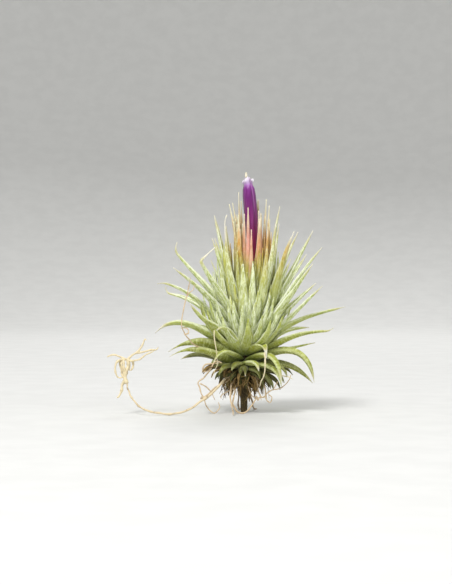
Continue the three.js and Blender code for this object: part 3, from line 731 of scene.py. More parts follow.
def spiral_rows(count, first_turn, *runs):
    """Rows for leaves that follow the golden angle, with every other number running evenly between two ends.
    The runs are the heights on the stem, rises, reaches, tips, ends and widths. Turns, reaches and tips are
    shaken a little."""
    rng = np.random.default_rng(count)
    t = (np.arange(count) + 0.5) / count
    turn = (first_turn + GOLDEN_ANGLE * np.arange(count) + rng.normal(0, TURN_SHAKE, count) + 180) % 360 - 180
    runs = [low + (high - low) * t for low, high in runs]
    runs[2] = runs[2] * rng.normal(1, REACH_SHAKE, count)
    runs[3] = runs[3] + rng.normal(0, TIP_SHAKE, count)
    return [(*row, {}) for row in zip(turn, *runs)]


FRONT, FRONT_TIPS = (-142, -18), (35, 50)  # azimuths where the middle leaves stay lower, and their tips
MIDDLE_COUNT = 112
MIDDLE_AGES = ((0, 10, 24, 50, MIDDLE_COUNT), (0.85, 0.72, 0.4, 0.34, 0.1))
MIDDLE = []
spiral = spiral_rows(MIDDLE_COUNT, 30, (21.5, 33), (40, 70), (17, 9.6), (38, 65), (78, 90), (3.7, 2.7))
for number, (turn, base, rise, reach, tip, end, wide, _) in enumerate(spiral):
    if FRONT[0] < turn < FRONT[1]:
        tip = np.interp(number, (0, MIDDLE_COUNT), FRONT_TIPS)
    MIDDLE.append((turn, base, rise, reach, tip, end, wide, {"age": np.interp(number, *MIDDLE_AGES)}))
INNER = spiral_rows(18, 20, (31, 37), (68, 84), (8.4, 3.8), (60, 74), (88, 90), (3.4, 2.4))
INNER = [row for row in INNER if not FRONT[0] < row[0] < FRONT[1]]

BROAD = {"dry": 1.15, "taper": 0.75, "foot": 1.2, "curl": 38, "thick": 0.95}
grow("outer", OUTER_MORE, "silver_green_leaf", age=0.5)
# ages of 1.25 lay painted shade over the under leaves
grow("under", UNDER, "deep_green_leaf", share=8, age=1.25, dry=1.1, **FLESHY)
grow("tender", HEART_MORE, "blushed_leaf", share=4, taper=0.88, **TENDER)
grow("middle", MIDDLE, "silver_green_leaf", share=8, **BROAD)
grow("inner", INNER, "blushed_leaf", share=8, age=0.15, blush=0.85, dry=1.2, curl=50, taper=0.75)

# %% [markdown]
# ## The flower
#
# The flower is a tube of three petals, rolled so that each covers the edge of the next. They are thin,
# satiny and violet, reddish where they leave the leaves, and their free tips flare and fade to lilac white.
# Their edges are darkened with painted shade, and two of them carry a painted highlight near one edge. The
# cream style stands out of the middle. A plain tube with painted seams would be quicker, but the tips part
# and curl, so each petal is a strip rolled about the flower's own bent axis.

# %% Flower line
def through(points, count):
    """A smooth line through the points: on each stretch a Hermite cubic whose end slopes come from the
    neighbours, with steps of the square root of the distance (the centripetal Catmull-Rom curve)."""
    p = np.asarray(points, float)
    p = np.concatenate([2 * p[:1] - p[1:2], p, 2 * p[-1:] - p[-2:-1]])
    place = np.linspace(0, len(p) - 3, count)
    k = np.minimum(place.astype(int), len(p) - 4)
    t = (place - k)[:, None]
    a, b, c, d = p[k], p[k + 1], p[k + 2], p[k + 3]
    gaps = [np.linalg.norm(far - near, axis=1, keepdims=True) for near, far in ((a, b), (b, c), (c, d))]
    ab, bc, cd = (np.maximum(gap, 1e-6) ** 0.5 for gap in gaps)
    slope_b = ((b - a) / ab - (c - a) / (ab + bc) + (c - b) / bc) * bc
    slope_c = ((c - b) / bc - (d - b) / (bc + cd) + (d - c) / cd) * bc
    return (
        (2 * t**3 - 3 * t**2 + 1) * b
        + (t**3 - 2 * t**2 + t) * slope_b
        + (3 * t**2 - 2 * t**3) * c
        + (t**3 - t**2) * slope_c
    )


FLOWER_POINTS = [
    (stem_shift(STEM_TOP) + 0.1, 0, 38.8),
    (4.2, 0, 50),
    (3.6, 0, 61),
    (2.8, -0.2, 73),
    (1.8, -0.4, 84),
    (1.4, -0.4, 88.2),
]
AXIS_STEPS = 401


def flower_frames(u):
    """Middle, right, back and forward of the flower's axis at shares u of its length."""
    share = np.linspace(0, 1, AXIS_STEPS)
    fine = through(FLOWER_POINTS, AXIS_STEPS)
    at = np.stack([np.interp(u, share, one) for one in fine.T], -1)
    forward = unit(np.stack([np.interp(u, share, one) for one in np.gradient(fine, axis=0).T], -1))
    right = unit(np.array([1, 0, 0]) - forward[:, :1] * forward)
    return at, right, np.cross(forward, right), forward


print("flower axis in mm:", round(steps_to_length(through(FLOWER_POINTS, AXIS_STEPS))[-1], 1))

# %% Petal material
PETAL_ALONG = [
    (0.0, "#b9a05a"),
    (0.27, "#9a4c3a"),
    (0.37, "#a5364a"),
    (0.46, "#982a58"),
    (0.57, "#74185c"),
    (0.74, "#6a176a"),
    (0.84, "#7c2a84"),
    (0.88, "#a673b6"),
    (0.93, "#bda6ca"),
    (1.0, "#f2eef6"),
]
DARK_VEIN, PALE_VEIN = "#560d50", "#b565b0"
# painted shade along the petal edges, and a painted highlight near one edge
PAINTED_EDGE_SHADE, PAINTED_PETAL_HIGHLIGHT = "#4e1250", "#bd76bd"
VEINS_PER_MM = (2.6, 0.12, 1.0)  # veins 0.4 mm apart


def make_petal_material():
    """Satin petal: colour runs along it, painted shade darkens its edges, and fine veins run lengthwise. The
    two that don't face front left carry a painted highlight near one edge; the pattern's depth tells them
    apart."""
    material, tree = new_material("satin_violet_petal")
    blade = add(tree, "ShaderNodeAttribute", attribute_name="blade").outputs["Vector"]
    along, across, _ = add(tree, "ShaderNodeSeparateXYZ", {0: blade}).outputs
    skin_mm = add(tree, "ShaderNodeAttribute", attribute_name="skin_mm").outputs["Vector"]
    facing = add(tree, "ShaderNodeSeparateXYZ", {0: skin_mm}).outputs[2]
    width = add(tree, "ShaderNodeMath", {0: across}, operation="ABSOLUTE").outputs[0]
    veins = grain(tree, skin_mm, VEINS_PER_MM, 2.0, 0.6)
    # where the painted highlight lies: near one edge of the two petals that don't face front left
    painted_highlight = [(across, -0.85, -0.68), (across, -0.52, -0.36, 1.0, 0.0), (facing, -60.0, -50.0)]
    colour = paint(
        tree,
        add(tree, "ShaderNodeValToRGB", {0: along}, PETAL_ALONG).outputs[0],
        ([(veins, 0.52, 0.68, 0.0, 0.5)], DARK_VEIN),
        ([(veins, 0.46, 0.30, 0.0, 0.3)], PALE_VEIN),
        # painted shade along each petal's edges
        ([(width, 0.8, 1.0, 0.0, 0.3)], PAINTED_EDGE_SHADE),
        # painted highlight near one edge
        ([*painted_highlight, (along, 0.55, 0.8, 0.0, 0.5)], PAINTED_PETAL_HIGHLIGHT),
    )
    satin = {"Base Color": colour, "Roughness": 0.42, "IOR": 1.4, "Sheen Weight": 0.15}
    return finish_material(material, satin, veins, strength=0.35, deep_mm=0.12)


petal_skin = make_petal_material()

# %% Petal formula
PETAL_U = [0, 0.1, 0.3, 0.5, 0.65, 0.75, 0.82, 0.86, 0.9, 0.95, 1]
PETAL_R = [1.3, 1.5, 1.95, 2.3, 2.42, 2.35, 2.05, 1.65, 1.5, 1.8, 2.0]
PETAL_SPREAD = [74, 74, 74, 74, 74, 73, 72, 72, 72, 68, 54]
PETAL_THICK, PETAL_LENGTH = 0.22, 50
PETAL_LAP = 0.14  # how much further out one edge of a petal is than its middle
PETAL_AROUND = 22
# where along the petal its tip comes free, flares and is necked in, and over what share of the length
FREE_FROM, FREE_OVER = 0.84, 0.08
FLARE_FROM, FLARE_OVER = 0.88, 0.12
NECK_FROM, NECK_OVER, NECK_BY = 0.87, 0.05, 0.72


def petal_shell(facing, lean, hook, slant, neck):
    """A strip rolled round the axis. Its radius grows from one edge to the other, so that each petal lies
    over one neighbour and under the other. At the tip it flares out by lean and its end stands hook higher;
    slant turns the end down and out on one side, and neck narrows it to a stalk."""
    u = np.concatenate([np.linspace(0, 0.82, 50), np.linspace(0.825, 1, 34)])
    at, right, back, forward = flower_frames(u)
    phase = 2 * np.pi * np.arange(PETAL_AROUND) / PETAL_AROUND
    v, face = -np.cos(phase), np.sin(phase)
    spread = np.radians(np.interp(u, PETAL_U, PETAL_SPREAD))[:, None]
    spread = spread * (1 - NECK_BY * neck * smooth((u - NECK_FROM) / NECK_OVER)[:, None])
    free = smooth((u - FREE_FROM) / FREE_OVER)[:, None]
    tip = smooth((u - FLARE_FROM) / FLARE_OVER)[:, None]
    radius = np.interp(u, PETAL_U, PETAL_R)[:, None] + PETAL_LAP * v * (1 - free)
    radius = radius + 0.3 * free * v**2 + (lean - 0.55 * slant * v) * tip
    radius = radius + PETAL_THICK * 0.5 * face * (1 - 0.3 * free + 1.2 * neck * tip)
    angle = np.radians(facing) + v * spread
    lift = (hook + slant * v) * tip + 0.1 * tip * np.sin(5 * v + facing)
    points = (
        at[:, None]
        + right[:, None] * (radius * np.cos(angle))[..., None]
        + back[:, None] * (radius * np.sin(angle))[..., None]
        + forward[:, None] * (lift * np.ones_like(radius))[..., None]
    )
    full = np.ones(angle.shape)
    length = (u * PETAL_LENGTH)[:, None]
    marks = {
        "blade": np.stack([u[:, None] * full, v * full, full * 0], -1),
        "skin_mm": np.stack([radius * v * spread, length * full, full * facing + 3 * (face > 0)], -1),
    }
    return points, marks


BALL_RINGS, BALL_AROUND, BALL_END = 14, 16, 0.12


def bead_shell(centre, size):
    """A ball, a little taller than wide, as rings from its lowest to its highest point: size times sin and
    cos of the polar angle."""
    polar = np.linspace(BALL_END, np.pi - BALL_END, BALL_RINGS)[:, None]
    spin = 2 * np.pi * np.arange(BALL_AROUND)[None, :] / BALL_AROUND
    across = np.sin(polar)
    ball = np.stack([across * np.cos(spin), across * np.sin(spin), -np.cos(polar) + 0 * spin], -1)
    points = np.asarray(centre) + size * ball * np.array([1, 1, 1.15])
    full = np.ones(points.shape[:2])
    return points, {"blade": full[..., None] * np.array([1, 0, 0]), "skin_mm": points.copy()}


# %% Petals
# each petal: the azimuth it faces, lean, hook, slant and neck; the one with a neck carries a bead
PETALS = [(-134, -0.4, -0.2, 1, 0), (-14, -0.3, -0.7, 0, 0.75), (106, -0.8, 0.5, 0, 0)]
BEAD_AT, BEAD_SIZE = (3.2, -0.9, 87.6), 0.55
for number, petal in enumerate(PETALS, 1):
    shells = [petal_shell(*petal)]
    if petal[-1]:
        shells.append(bead_shell(BEAD_AT, BEAD_SIZE))
    put_piece(f"petal_fine_{number}", shells, petal_skin, [f"petal_{number}"])
print("petals:", len(PETALS))

# %% [markdown]
# ## Tubes: style, stamens and roots
#
# A root, a filament and the style are round and change thickness along their way. Blender could bevel a
# curve for each, but here too every ring is worked out, so that knots, tapers and the flat of the surface
# are part of the shape. Each tube is a ring carried along a smooth line. The ring must not spin on the way,
# so its frame is handed on from station to station, each time turned only as much as the line itself turns.

# %% Tube formula
def tube_frames(line):
    """Two directions square to the line at each station, handed on so that they never spin."""
    forward = unit(np.gradient(line, axis=0))
    side = np.zeros_like(forward)
    first = np.cross(forward[0], [0.0, 0.0, 1.0])
    side[0] = unit(first if np.linalg.norm(first) > 0.1 else np.cross(forward[0], [0.0, 1.0, 0.0]))
    for i in range(1, len(line)):
        side[i] = unit(side[i - 1] - forward[i] * (side[i - 1] @ forward[i]))
    return side, np.cross(forward, side)


def tube_shell(line, radius, around=10, tone=0.5, floor=False):
    """Rings of the given radius along the line. With floor, no point of the tube is below the surface. tone
    is how pale the root bark makes it; the other materials don't read it."""
    side, lift = tube_frames(line)
    phase = 2 * np.pi * np.arange(around) / around
    radius = np.broadcast_to(radius, len(line))[:, None]
    points = (
        line[:, None]
        + side[:, None] * (radius * np.cos(phase))[..., None]
        + lift[:, None] * (radius * np.sin(phase))[..., None]
    )
    if floor:
        points[..., 2] = np.maximum(points[..., 2], 0.0)
    full = np.ones(points.shape[:2])
    length = steps_to_length(line)[:, None]
    marks = {
        "skin_mm": np.stack([radius * phase, length * full, full * (line[0].sum() % 7)], -1),
        "blade": full[..., None] * np.array([0, 0, tone]),
    }
    return points, marks


# %% Style and stamens
FLOWER_CREAM, FLOWER_MOTTLE = "#f0ecdf", "#dfd6ae"
MOTTLES_PER_MM = 3.0  # mottles 0.3 mm across
STYLE_TOP = np.array([0.8, -0.5, 90.0])
STYLE_RADIUS, LOBE_RADIUS = 0.3, 0.3
STAMENS, STAMEN_RING = 6, 0.82
FILAMENT, ANTHER = 0.15, 0.2
SEAT_RADII = np.array([0.7, 0.92, 0.95, 0.92, 0.7])  # the short ring that the filaments stand on


def make_cream_material():
    """Living flower tissue: cream, a little waxy, slightly mottled."""
    material, tree = new_material("waxy_cream_flower_parts")
    skin_mm = add(tree, "ShaderNodeAttribute", attribute_name="skin_mm").outputs["Vector"]
    mottles = {"Vector": skin_mm, "Scale": MOTTLES_PER_MM, "Detail": 3.0}
    mottle = add(tree, "ShaderNodeTexNoise", mottles).outputs[0]
    colour = paint(tree, FLOWER_CREAM, ([(mottle, 0.35, 0.65)], FLOWER_MOTTLE))
    waxy = {"Base Color": colour, "Roughness": 0.5, "IOR": 1.4}
    return finish_material(material, waxy, mottle, strength=0.4, deep_mm=0.1)


def lobe_shell(number):
    """One lobe of the stigma: a tube that winds 0.6 of a turn about the style's top and ends above it."""
    swirl = np.linspace(0, 1, 26)[:, None]
    spin = 2 * np.pi * (number / 3 + 0.6 * swirl)
    line = STYLE_TOP + np.concatenate([0.2 * np.cos(spin), 0.2 * np.sin(spin), -1.4 + 1.9 * swirl], 1)
    return tube_shell(line, LOBE_RADIUS * np.sin(np.pi * (0.12 + 0.8 * swirl[:, 0])) ** 0.7, 10)


def stamen_shell(number):
    """One of six filaments round the style: a tube beside the flower's axis, swollen to an anther near its
    end."""
    u = np.linspace(0.03, 0.9, 40)
    at, right, back, _ = flower_frames(u)
    turn = 2 * math.pi * number / STAMENS
    line = at + STAMEN_RING * (right * math.cos(turn) + back * math.sin(turn))
    swell = ANTHER * smooth((u - 0.83) / 0.02) * (1 - smooth((u - 0.885) / 0.015))
    return tube_shell(line, FILAMENT + swell, 8)


cream_tissue = make_cream_material()
axis_at = flower_frames(np.linspace(0.02, 1, 50))[0]
style_line = through([*axis_at[::7], axis_at[-1] - np.array([0.2, 0, 0]), STYLE_TOP], 60)
style = [tube_shell(style_line, STYLE_RADIUS), *(lobe_shell(number) for number in range(3))]
put_piece("style_and_stigma", style, cream_tissue, ["pistil"])

seat_at = flower_frames(np.linspace(0.012, 0.045, 5))[0]
seat = tube_shell(seat_at, SEAT_RADII, 14)
stamens = [*(stamen_shell(number) for number in range(STAMENS)), seat]
put_piece("six_stamens", stamens, cream_tissue, ["stamens"])
print("style, stigma and six stamens made")

# %% [markdown]
# ## Dead leaves
#
# Below the living leaves the stem is wrapped in what is left of dead ones: brown papery sheaths, and the
# loose fibres they fray into. Both could be one rough texture on the stem, but they stand off it and show
# at its outline, so they are real pieces. The sheaths are made with the leaf formula, thin and narrow, and
# the fibres are thin tubes.

# %% Papery material
PAPER_BY_FIBRE = [(0.32, "#33280f"), (0.5, "#66512a"), (0.62, "#957a45"), (0.75, "#bfa870")]
PAPER_FIBRES_PER_MM = (3.0, 0.3, 1.0)  # fibres 0.3 mm wide and 3 mm long


def make_papery_material():
    """Dead leaf: brown paper with long fibres, bleached in streaks."""
    material, tree = new_material("papery_dead_leaf")
    skin_mm = add(tree, "ShaderNodeAttribute", attribute_name="skin_mm").outputs["Vector"]
    fibres = grain(tree, skin_mm, PAPER_FIBRES_PER_MM, 3.0, 0.6)
    colour = add(tree, "ShaderNodeValToRGB", {0: fibres}, PAPER_BY_FIBRE).outputs[0]
    paper = {"Base Color": colour, "Roughness": 0.85, "IOR": 1.45}
    return finish_material(material, paper, fibres, strength=0.7, deep_mm=0.2)


papery_leaf = make_papery_material()

# %% Sheaths and fibres
SHEATH_SEED, FIBRE_SEED, FIBRES = 7, 8, 100
SHEATHS = spiral_rows(34, 10, (10, 17), (-30, 0), (4, 11), (6.4, 12), (-88, -74), (1.8, 2.6))
SHEATHS += [
    (-150, 15, 10, 18, 15.6, -50, 3, {}),
    (-141, 14.6, 6, 15.6, 13.8, -66, 2.8, {}),
    (-163, 15, 8, 16, 14.8, -58, 2.6, {}),
]
PAPERY = {"thick": 0.5, "curl": 58, "foot": 1.1, "taper": 0.7}
sheath_shells = [
    leaf_shell(np.random.default_rng([SHEATH_SEED, i]), *row[:7], twist=60 * np.sin(7 * i), **PAPERY)
    for i, row in enumerate(SHEATHS)
]
put_piece("papery_sheaths", sheath_shells, papery_leaf)


def fibre_line(rng):
    """A loose fibre: it leaves the stem, swings out and falls, in a curve through four shaken points."""
    turn = rng.uniform(0, 2 * np.pi) + np.array([0, 0.1, 0.3, 0.5]) * rng.normal(0, 1.5)
    swing = np.clip(rng.normal(0.4, 1), -1.5, 1.8)
    far = np.array([2.2, 4.8, 7.4, 8.2]) + np.array([0, 0.8, 1.6, 1.8]) * swing
    high = rng.uniform(11, 17.5) - np.array([0, 0.2, 2.2, rng.uniform(3, 7)])
    return through(np.stack([far * np.cos(turn), far * np.sin(turn), high], -1), 26)


fibre_shells = []
for number in range(FIBRES):
    rng = np.random.default_rng([FIBRE_SEED, number])
    fibre_shells.append(tube_shell(fibre_line(rng), np.linspace(0.2, 0.08, 26) * rng.uniform(0.7, 1.2), 6))
put_piece("frayed_fibres", fibre_shells, papery_leaf)
print("sheaths:", len(sheath_shells), "fibres:", len(fibre_shells))

# %% [markdown]
# ## The roots
#
# An air plant's roots are wires, not feeders: 0.5 to 1 mm thick, tan to cream, springy, with small knots
# and kinks where they once gripped. The long one arches over the surface and ends in a pale tangle. Random
# walks would look much the same anywhere, but these roots have their own way, so each is led through points.

# %% Root material
BARK_BY_TONE = [(0.0, "#5f4d36"), (0.35, "#8f7452"), (0.75, "#c9ad8a"), (1.0, "#e6dab4")]
KNOT_SPOT, PALE_FIBRE = "#8b6f4e", "#e2d6bc"
SPOTS_PER_MM = 0.55  # spots 1.8 mm across
ROOT_FIBRES_PER_MM = (5.0, 0.6, 1.0)  # fibres 0.2 mm wide and 1.7 mm long


def make_root_material():
    """Dry root bark: tan to cream by the root's own tone, with darker knots and lengthwise fibres."""
    material, tree = new_material("dry_root_bark")
    skin_mm = add(tree, "ShaderNodeAttribute", attribute_name="skin_mm").outputs["Vector"]
    blade = add(tree, "ShaderNodeAttribute", attribute_name="blade").outputs["Vector"]
    tone = add(tree, "ShaderNodeSeparateXYZ", {0: blade}).outputs[2]
    knots = {"Vector": skin_mm, "Scale": SPOTS_PER_MM, "Detail": 3.0, "Roughness": 0.6}
    spots = add(tree, "ShaderNodeTexNoise", knots).outputs[0]
    fibres = grain(tree, skin_mm, ROOT_FIBRES_PER_MM, 2.0)
    colour = paint(
        tree,
        add(tree, "ShaderNodeValToRGB", {0: tone}, BARK_BY_TONE).outputs[0],
        ([(spots, 0.5, 0.72, 0.0, 0.7), (tone, 0.9, 1.0, 1.0, 0.35)], KNOT_SPOT),
        ([(fibres, 0.5, 0.7, 0.0, 0.45)], PALE_FIBRE),
    )
    dry_bark = {"Base Color": colour, "Roughness": 0.72, "IOR": 1.45}
    return finish_material(material, dry_bark, fibres, strength=0.5, deep_mm=0.12)


root_bark = make_root_material()

# %% Root lines
# each root: its tone, and its strands, each with a radius and the points in mm that it is led through
ROOTS = {
    "long_root": (0.9, [(0.58, [(-2.6, -2.6, 14.4), (-6.4, -5, 13.4), (-11.2, -8, 8.6), (-16.8, -11, 4.4),
        (-21.6, -13, 1.6), (-27.8, -14, 0.6), (-34, -13, 1.3), (-37.6, -12.6, 2.5), (-40.2, -12, 4.7),
        (-42, -11.5, 7), (-43, -11, 9.6), (-43.6, -10.6, 12)])]),
    "root_tangle": (0.95, [
        (0.95, [(-43.5, -10.6, 11.6), (-44.2, -10.3, 14), (-43.8, -10, 16.3), (-43, -9.7, 18),
            (-43.2, -9.8, 19.6), (-43.9, -9.3, 20.6)]),
        (0.7, [(-44.1, -10.2, 12.8), (-45.3, -10, 11), (-45.5, -10.4, 9), (-46.2, -10.8, 7.2),
            (-47.2, -11, 6.3)]),
        (0.52, [(-44.2, -10, 13.6), (-45.5, -9.2, 15), (-45.8, -9, 17), (-46.2, -9.2, 19.2),
            (-45.3, -9.2, 20.4), (-43.9, -9.3, 20.4)]),
        (0.46, [(-44.4, -10.1, 14.2), (-45, -10.4, 17), (-45.4, -10.4, 19.4), (-44.2, -9.6, 20.6)]),
        (0.52, [(-43.9, -9.4, 20.5), (-46, -9.8, 20.4), (-47.4, -10.5, 19.2), (-47.8, -10.8, 17),
            (-47.3, -10.4, 14.6), (-46.4, -10, 13.7), (-44.4, -10, 13.9)]),
        (0.56, [(-43.9, -9.4, 20.5), (-46.2, -9.3, 21.4), (-48.6, -9, 22.3), (-51, -8.8, 21.4)]),
        (0.52, [(-43.6, -9.6, 20.4), (-41.8, -9.2, 20), (-41.3, -8.8, 18.4), (-42, -9, 16.6),
            (-43.6, -9.9, 16.8)]),
        (0.56, [(-43.6, -9.6, 20.3), (-41.2, -9.2, 22.3), (-39.3, -9, 23.6), (-37.9, -8.7, 25.6),
            (-37, -8.6, 28), (-36.2, -8.9, 27.6)]),
        (0.52, [(-40, -9, 23), (-37.4, -9, 23.2), (-34.6, -8.8, 23.9), (-32.6, -8.7, 24.2),
            (-31.9, -8.6, 25.1)]),
        (0.52, [(-43.4, -9.8, 20.3), (-41.2, -10, 20), (-39, -10.2, 20.5), (-36.6, -9.9, 22.2),
            (-33.2, -9, 23.8)]),
        (0.6, [(-43.6, -9.7, 20.5), (-42.6, -9.2, 19), (-43, -9.4, 17.2), (-43.9, -10, 15.6)]),
        (0.5, [(-44.8, -9.8, 20.2), (-44.6, -10.6, 18.4), (-44.2, -10.6, 16.4), (-43.8, -10.3, 14.6)]),
    ]),
    "climbing_root": (0.8, [
        (0.36, [(-4.1, -1.3, 19.3), (-5.5, -1.6, 19.9), (-7.4, -2, 20.7), (-9.3, -2.4, 21.7),
            (-11.3, -3.1, 22.8), (-13.2, -4.2, 23.4), (-15.4, -6, 24.4), (-17.8, -9, 25.6),
            (-20, -12.2, 27.6), (-21.4, -14.2, 29.6), (-22.8, -16, 33), (-22.5, -15.5, 38.4),
            (-21, -13.5, 44.5), (-19.8, -12.5, 51)]),
        (0.26, [(-21.4, -14, 43.4), (-20.4, -13.6, 45.2), (-18.9, -13.2, 46.4), (-18.1, -13, 48.6)]),
        (0.3, [(-22, -16.3, 30), (-20.4, -16.2, 30.6), (-20.6, -16, 32), (-22.3, -16.3, 32.4)]),
    ]),
    "root_cluster_left": (0.82, [
        (0.38, [(-3, -2, 14), (-7, -4.5, 17.6), (-10.3, -6, 19.6), (-12, -7.3, 17.6), (-13.8, -7.5, 15),
            (-15.4, -7.2, 13.2), (-17, -7.2, 11.8), (-16.5, -7.4, 9.6), (-15.4, -7.6, 6.5),
            (-14.2, -7.5, 3.6), (-11.6, -7, 0.4), (-9.9, -6.4, 0.9), (-9.2, -6, 2.8), (-9.5, -6, 4.4)]),
        (0.4, [(-8.1, -5, 18.4), (-12, -6.4, 18.8), (-15, -7.2, 18), (-15.2, -7.4, 16), (-13.6, -7.3, 16.2),
            (-12.4, -7.7, 17.6)]),
        (0.32, [(-16.4, -7, 11.4), (-14.3, -6.5, 10.2), (-12.2, -6, 8), (-10.8, -6, 5)]),
        (0.36, [(-3.2, -2.4, 14.4), (-6.6, -4.6, 12), (-11, -5.4, 9.6), (-14.2, -6.2, 6.6),
            (-16.2, -6.8, 5.8), (-15.6, -7.2, 6.8)]),
        (0.32, [(-1.6, -1.4, 10.4), (-6.3, -4.6, 8.2), (-8.6, -5, 6.4), (-8.5, -5, 5.6)]),
    ]),
    "root_front": (0.8, [
        (0.42, [(-1.4, -2.4, 13.6), (-3.8, -4.6, 12.4), (-4.7, -6, 10.6), (-5.1, -8, 7.6), (-4.6, -10, 3.6),
            (-4.1, -12.5, 1.4), (-4, -15, 0.3)]),
        (0.4, [(-1.4, -2.2, 12), (-3, -4.6, 10.6), (-3.5, -6.4, 7.6), (-4.3, -8, 4), (-4.2, -9.4, 2)]),
    ]),
    "root_loop_front": (0.8, [(0.44, [(-4.4, -8.1, 4), (-3.4, -7.8, 2.2), (-2.2, -7.4, 0.7),
        (-0.4, -7, 0.4), (1.5, -6.6, 1.4), (3.1, -6.2, 3.4), (4.6, -5.9, 5.6), (6.5, -5.6, 6)])]),
    "root_cluster_right": (0.82, [
        (0.38, [(1.6, -1.6, 15), (3.6, -4, 14), (5, -5, 11), (5.4, -5.8, 8.3), (6.6, -5.7, 6.3),
            (7.8, -5.5, 6.4), (8.8, -5.2, 7.7), (10.6, -4.8, 8.9), (12.8, -4, 9.2), (14.7, -3.4, 10.1),
            (16.9, -2.8, 12.2), (17.7, -2, 14.6)]),
        (0.36, [(2.6, -2.6, 14.6), (6, -4.5, 12.6), (7.8, -5.2, 9.6), (8.1, -5.6, 7), (8.6, -5.8, 5),
            (9.7, -5.7, 4.3), (10.4, -5.5, 5.6), (10.1, -5.3, 6.7), (9.1, -5.1, 7.2)]),
        (0.3, [(4.4, -5.8, 5.4), (4.8, -5.8, 6.6), (5.3, -5.8, 5), (5.9, -5.8, 6.2), (6.6, -5.8, 5)]),
        (0.3, [(12.6, -4, 12), (12, -4.2, 10.6), (10.8, -4.7, 9)]),
        (0.32, [(1.2, -2.6, 14.6), (1.4, -5, 10.8), (2.2, -5.4, 8), (3.5, -5.6, 6.4), (4.6, -5.8, 5.6)]),
    ]),
    "root_back_left": (0.45, [(0.42, [(-1.2, 2.4, 9.5), (-2, 5, 6.5), (-2.2, 9, 2), (-1.8, 12.4, 0.28),
        (-1, 16, 0.24)])]),
    "root_back_right": (0.45, [(0.42, [(1.3, 2.4, 9.5), (2.4, 4.6, 6.5), (3.4, 8.2, 2), (4, 11, 0.28),
        (5, 14.4, 0.24)])]),
}
print("root strands:", sum(len(strands) for _, strands in ROOTS.values()))

# %% Roots
ROOT_SEED = 5
SLIMMER = 0.8  # each root is a little slimmer than its solid
ROOT_STEP, KNOT_EVERY = 0.5, 4  # mm
KNOT_SWELL, LUMPS = 0.32, 0.06  # shares of the radius
WIGGLE = 0.16  # mm
ROUNDED_END = np.array([0.9, 0.7, 0.4])
PRESSED = 0.92  # how high, in radii, the middle of a root lies on the surface


def root_shell(rng, radius, points, tone, taper=0.55):
    """A root along a smooth line: the line wanders a little by three sine waves an axis, and the radius
    tapers, swells at knots, each a bell curve, and is rounded off at the end."""
    span = np.linalg.norm(np.diff(points, axis=0), axis=1).sum()
    count = max(24, int(span / ROOT_STEP))
    line = through(points, count)
    s = np.linspace(0, span, count)
    for axis in range(3):
        waves = sum(np.sin(s * rng.uniform(0.5, 1.6) + rng.uniform(0, 6.28)) for _ in range(3)) / 3
        line[:, axis] += WIGGLE * waves * smooth(s / 2) * smooth((span - s) / 1.5)
    knots = range(int(span / KNOT_EVERY) + 1)
    knots = sum(np.exp(-(((s - rng.uniform(0, span)) / rng.uniform(0.25, 0.6)) ** 2)) for _ in knots)
    swell = 1 + KNOT_SWELL * knots + LUMPS * np.sin(s * 2.1)
    thick = SLIMMER * radius * (1 + (taper - 1) * s / span) * swell
    thick[-3:] *= ROUNDED_END
    line[:, 2] = np.maximum(line[:, 2], thick * PRESSED)
    return tube_shell(line, thick, 10, tone, floor=True)


for number, (node, (tone, strands)) in enumerate(ROOTS.items()):
    rng = np.random.default_rng([ROOT_SEED, number])
    shells = [root_shell(rng, radius, points, tone) for radius, points in strands]
    put_piece(f"{node}_fine", shells, root_bark, [node])
print("roots:", len(ROOTS))

# %% [markdown]
# ## Dry tips
#
# Three of the old leaves keep a long dry tip that hangs down as a pale thread. It could be the drawn-out end
# of its leaf, but a thread as thin as a root is easier to lead through points, so the root formula makes it.

# %% Dry leaf tips
DRY_TIPS = [
    (0.26, [(-10.9, -16.8, 31.5), (-11, -17.2, 30), (-10.6, -17, 27), (-10, -16.4, 22.4),
        (-9.8, -15.8, 19.4), (-10.7, -15, 16.8), (-11.6, -14, 14.6)]),
    (0.4, [(7.5, -12.8, 23.2), (7.8, -13.6, 21.6), (7.7, -13.8, 19), (7.8, -13.4, 16.6), (7, -12.8, 14),
        (6.2, -12, 12), (5.8, -11.4, 10.6)]),
    (0.3, [(12, -4, 15), (14.2, -5, 14.2), (16.6, -5.4, 13.8), (18.4, -5, 12.8)]),
]
TIP_SEED, TIP_TONE = 9, 1.0
rng = np.random.default_rng(TIP_SEED)
tip_shells = [root_shell(rng, radius, points, TIP_TONE, taper=0.45) for radius, points in DRY_TIPS]
put_piece("dry_leaf_tips", tip_shells, root_bark)
print("dry tips:", len(tip_shells))

# %% [markdown]
# ## The stem
#
# The stem is short, dark and woody, ringed with the scars of old leaves. A cylinder with a bumpy texture
# would have a smooth outline, so it is one turned surface whose radius carries ridges for the scars and
# furrows for the bark.

# %% Stem
STEM_BY_FIBRE = [(0.3, "#1f1a10"), (0.5, "#453a20"), (0.62, "#6a5a34"), (0.75, "#8d7c50")]
BARK_FIBRES_PER_MM = (2.4, 0.35, 1.0)  # fibres 0.4 mm wide and 3 mm long
SCAR_DEEP, FURROW_DEEP = 0.05, 0.035  # shares of the radius
STEM_RINGS, STEM_AROUND = 110, 40


def make_bark_material():
    """Dark fibrous bark: brown, with pale fibres that run up the stem."""
    material, tree = new_material("dark_woody_stem")
    skin_mm = add(tree, "ShaderNodeAttribute", attribute_name="skin_mm").outputs["Vector"]
    fibres = grain(tree, skin_mm, BARK_FIBRES_PER_MM, 4.0, 0.65)
    colour = add(tree, "ShaderNodeValToRGB", {0: fibres}, STEM_BY_FIBRE).outputs[0]
    bark = {"Base Color": colour, "Roughness": 0.85, "IOR": 1.45}
    return finish_material(material, bark, fibres, strength=0.8, deep_mm=0.3)


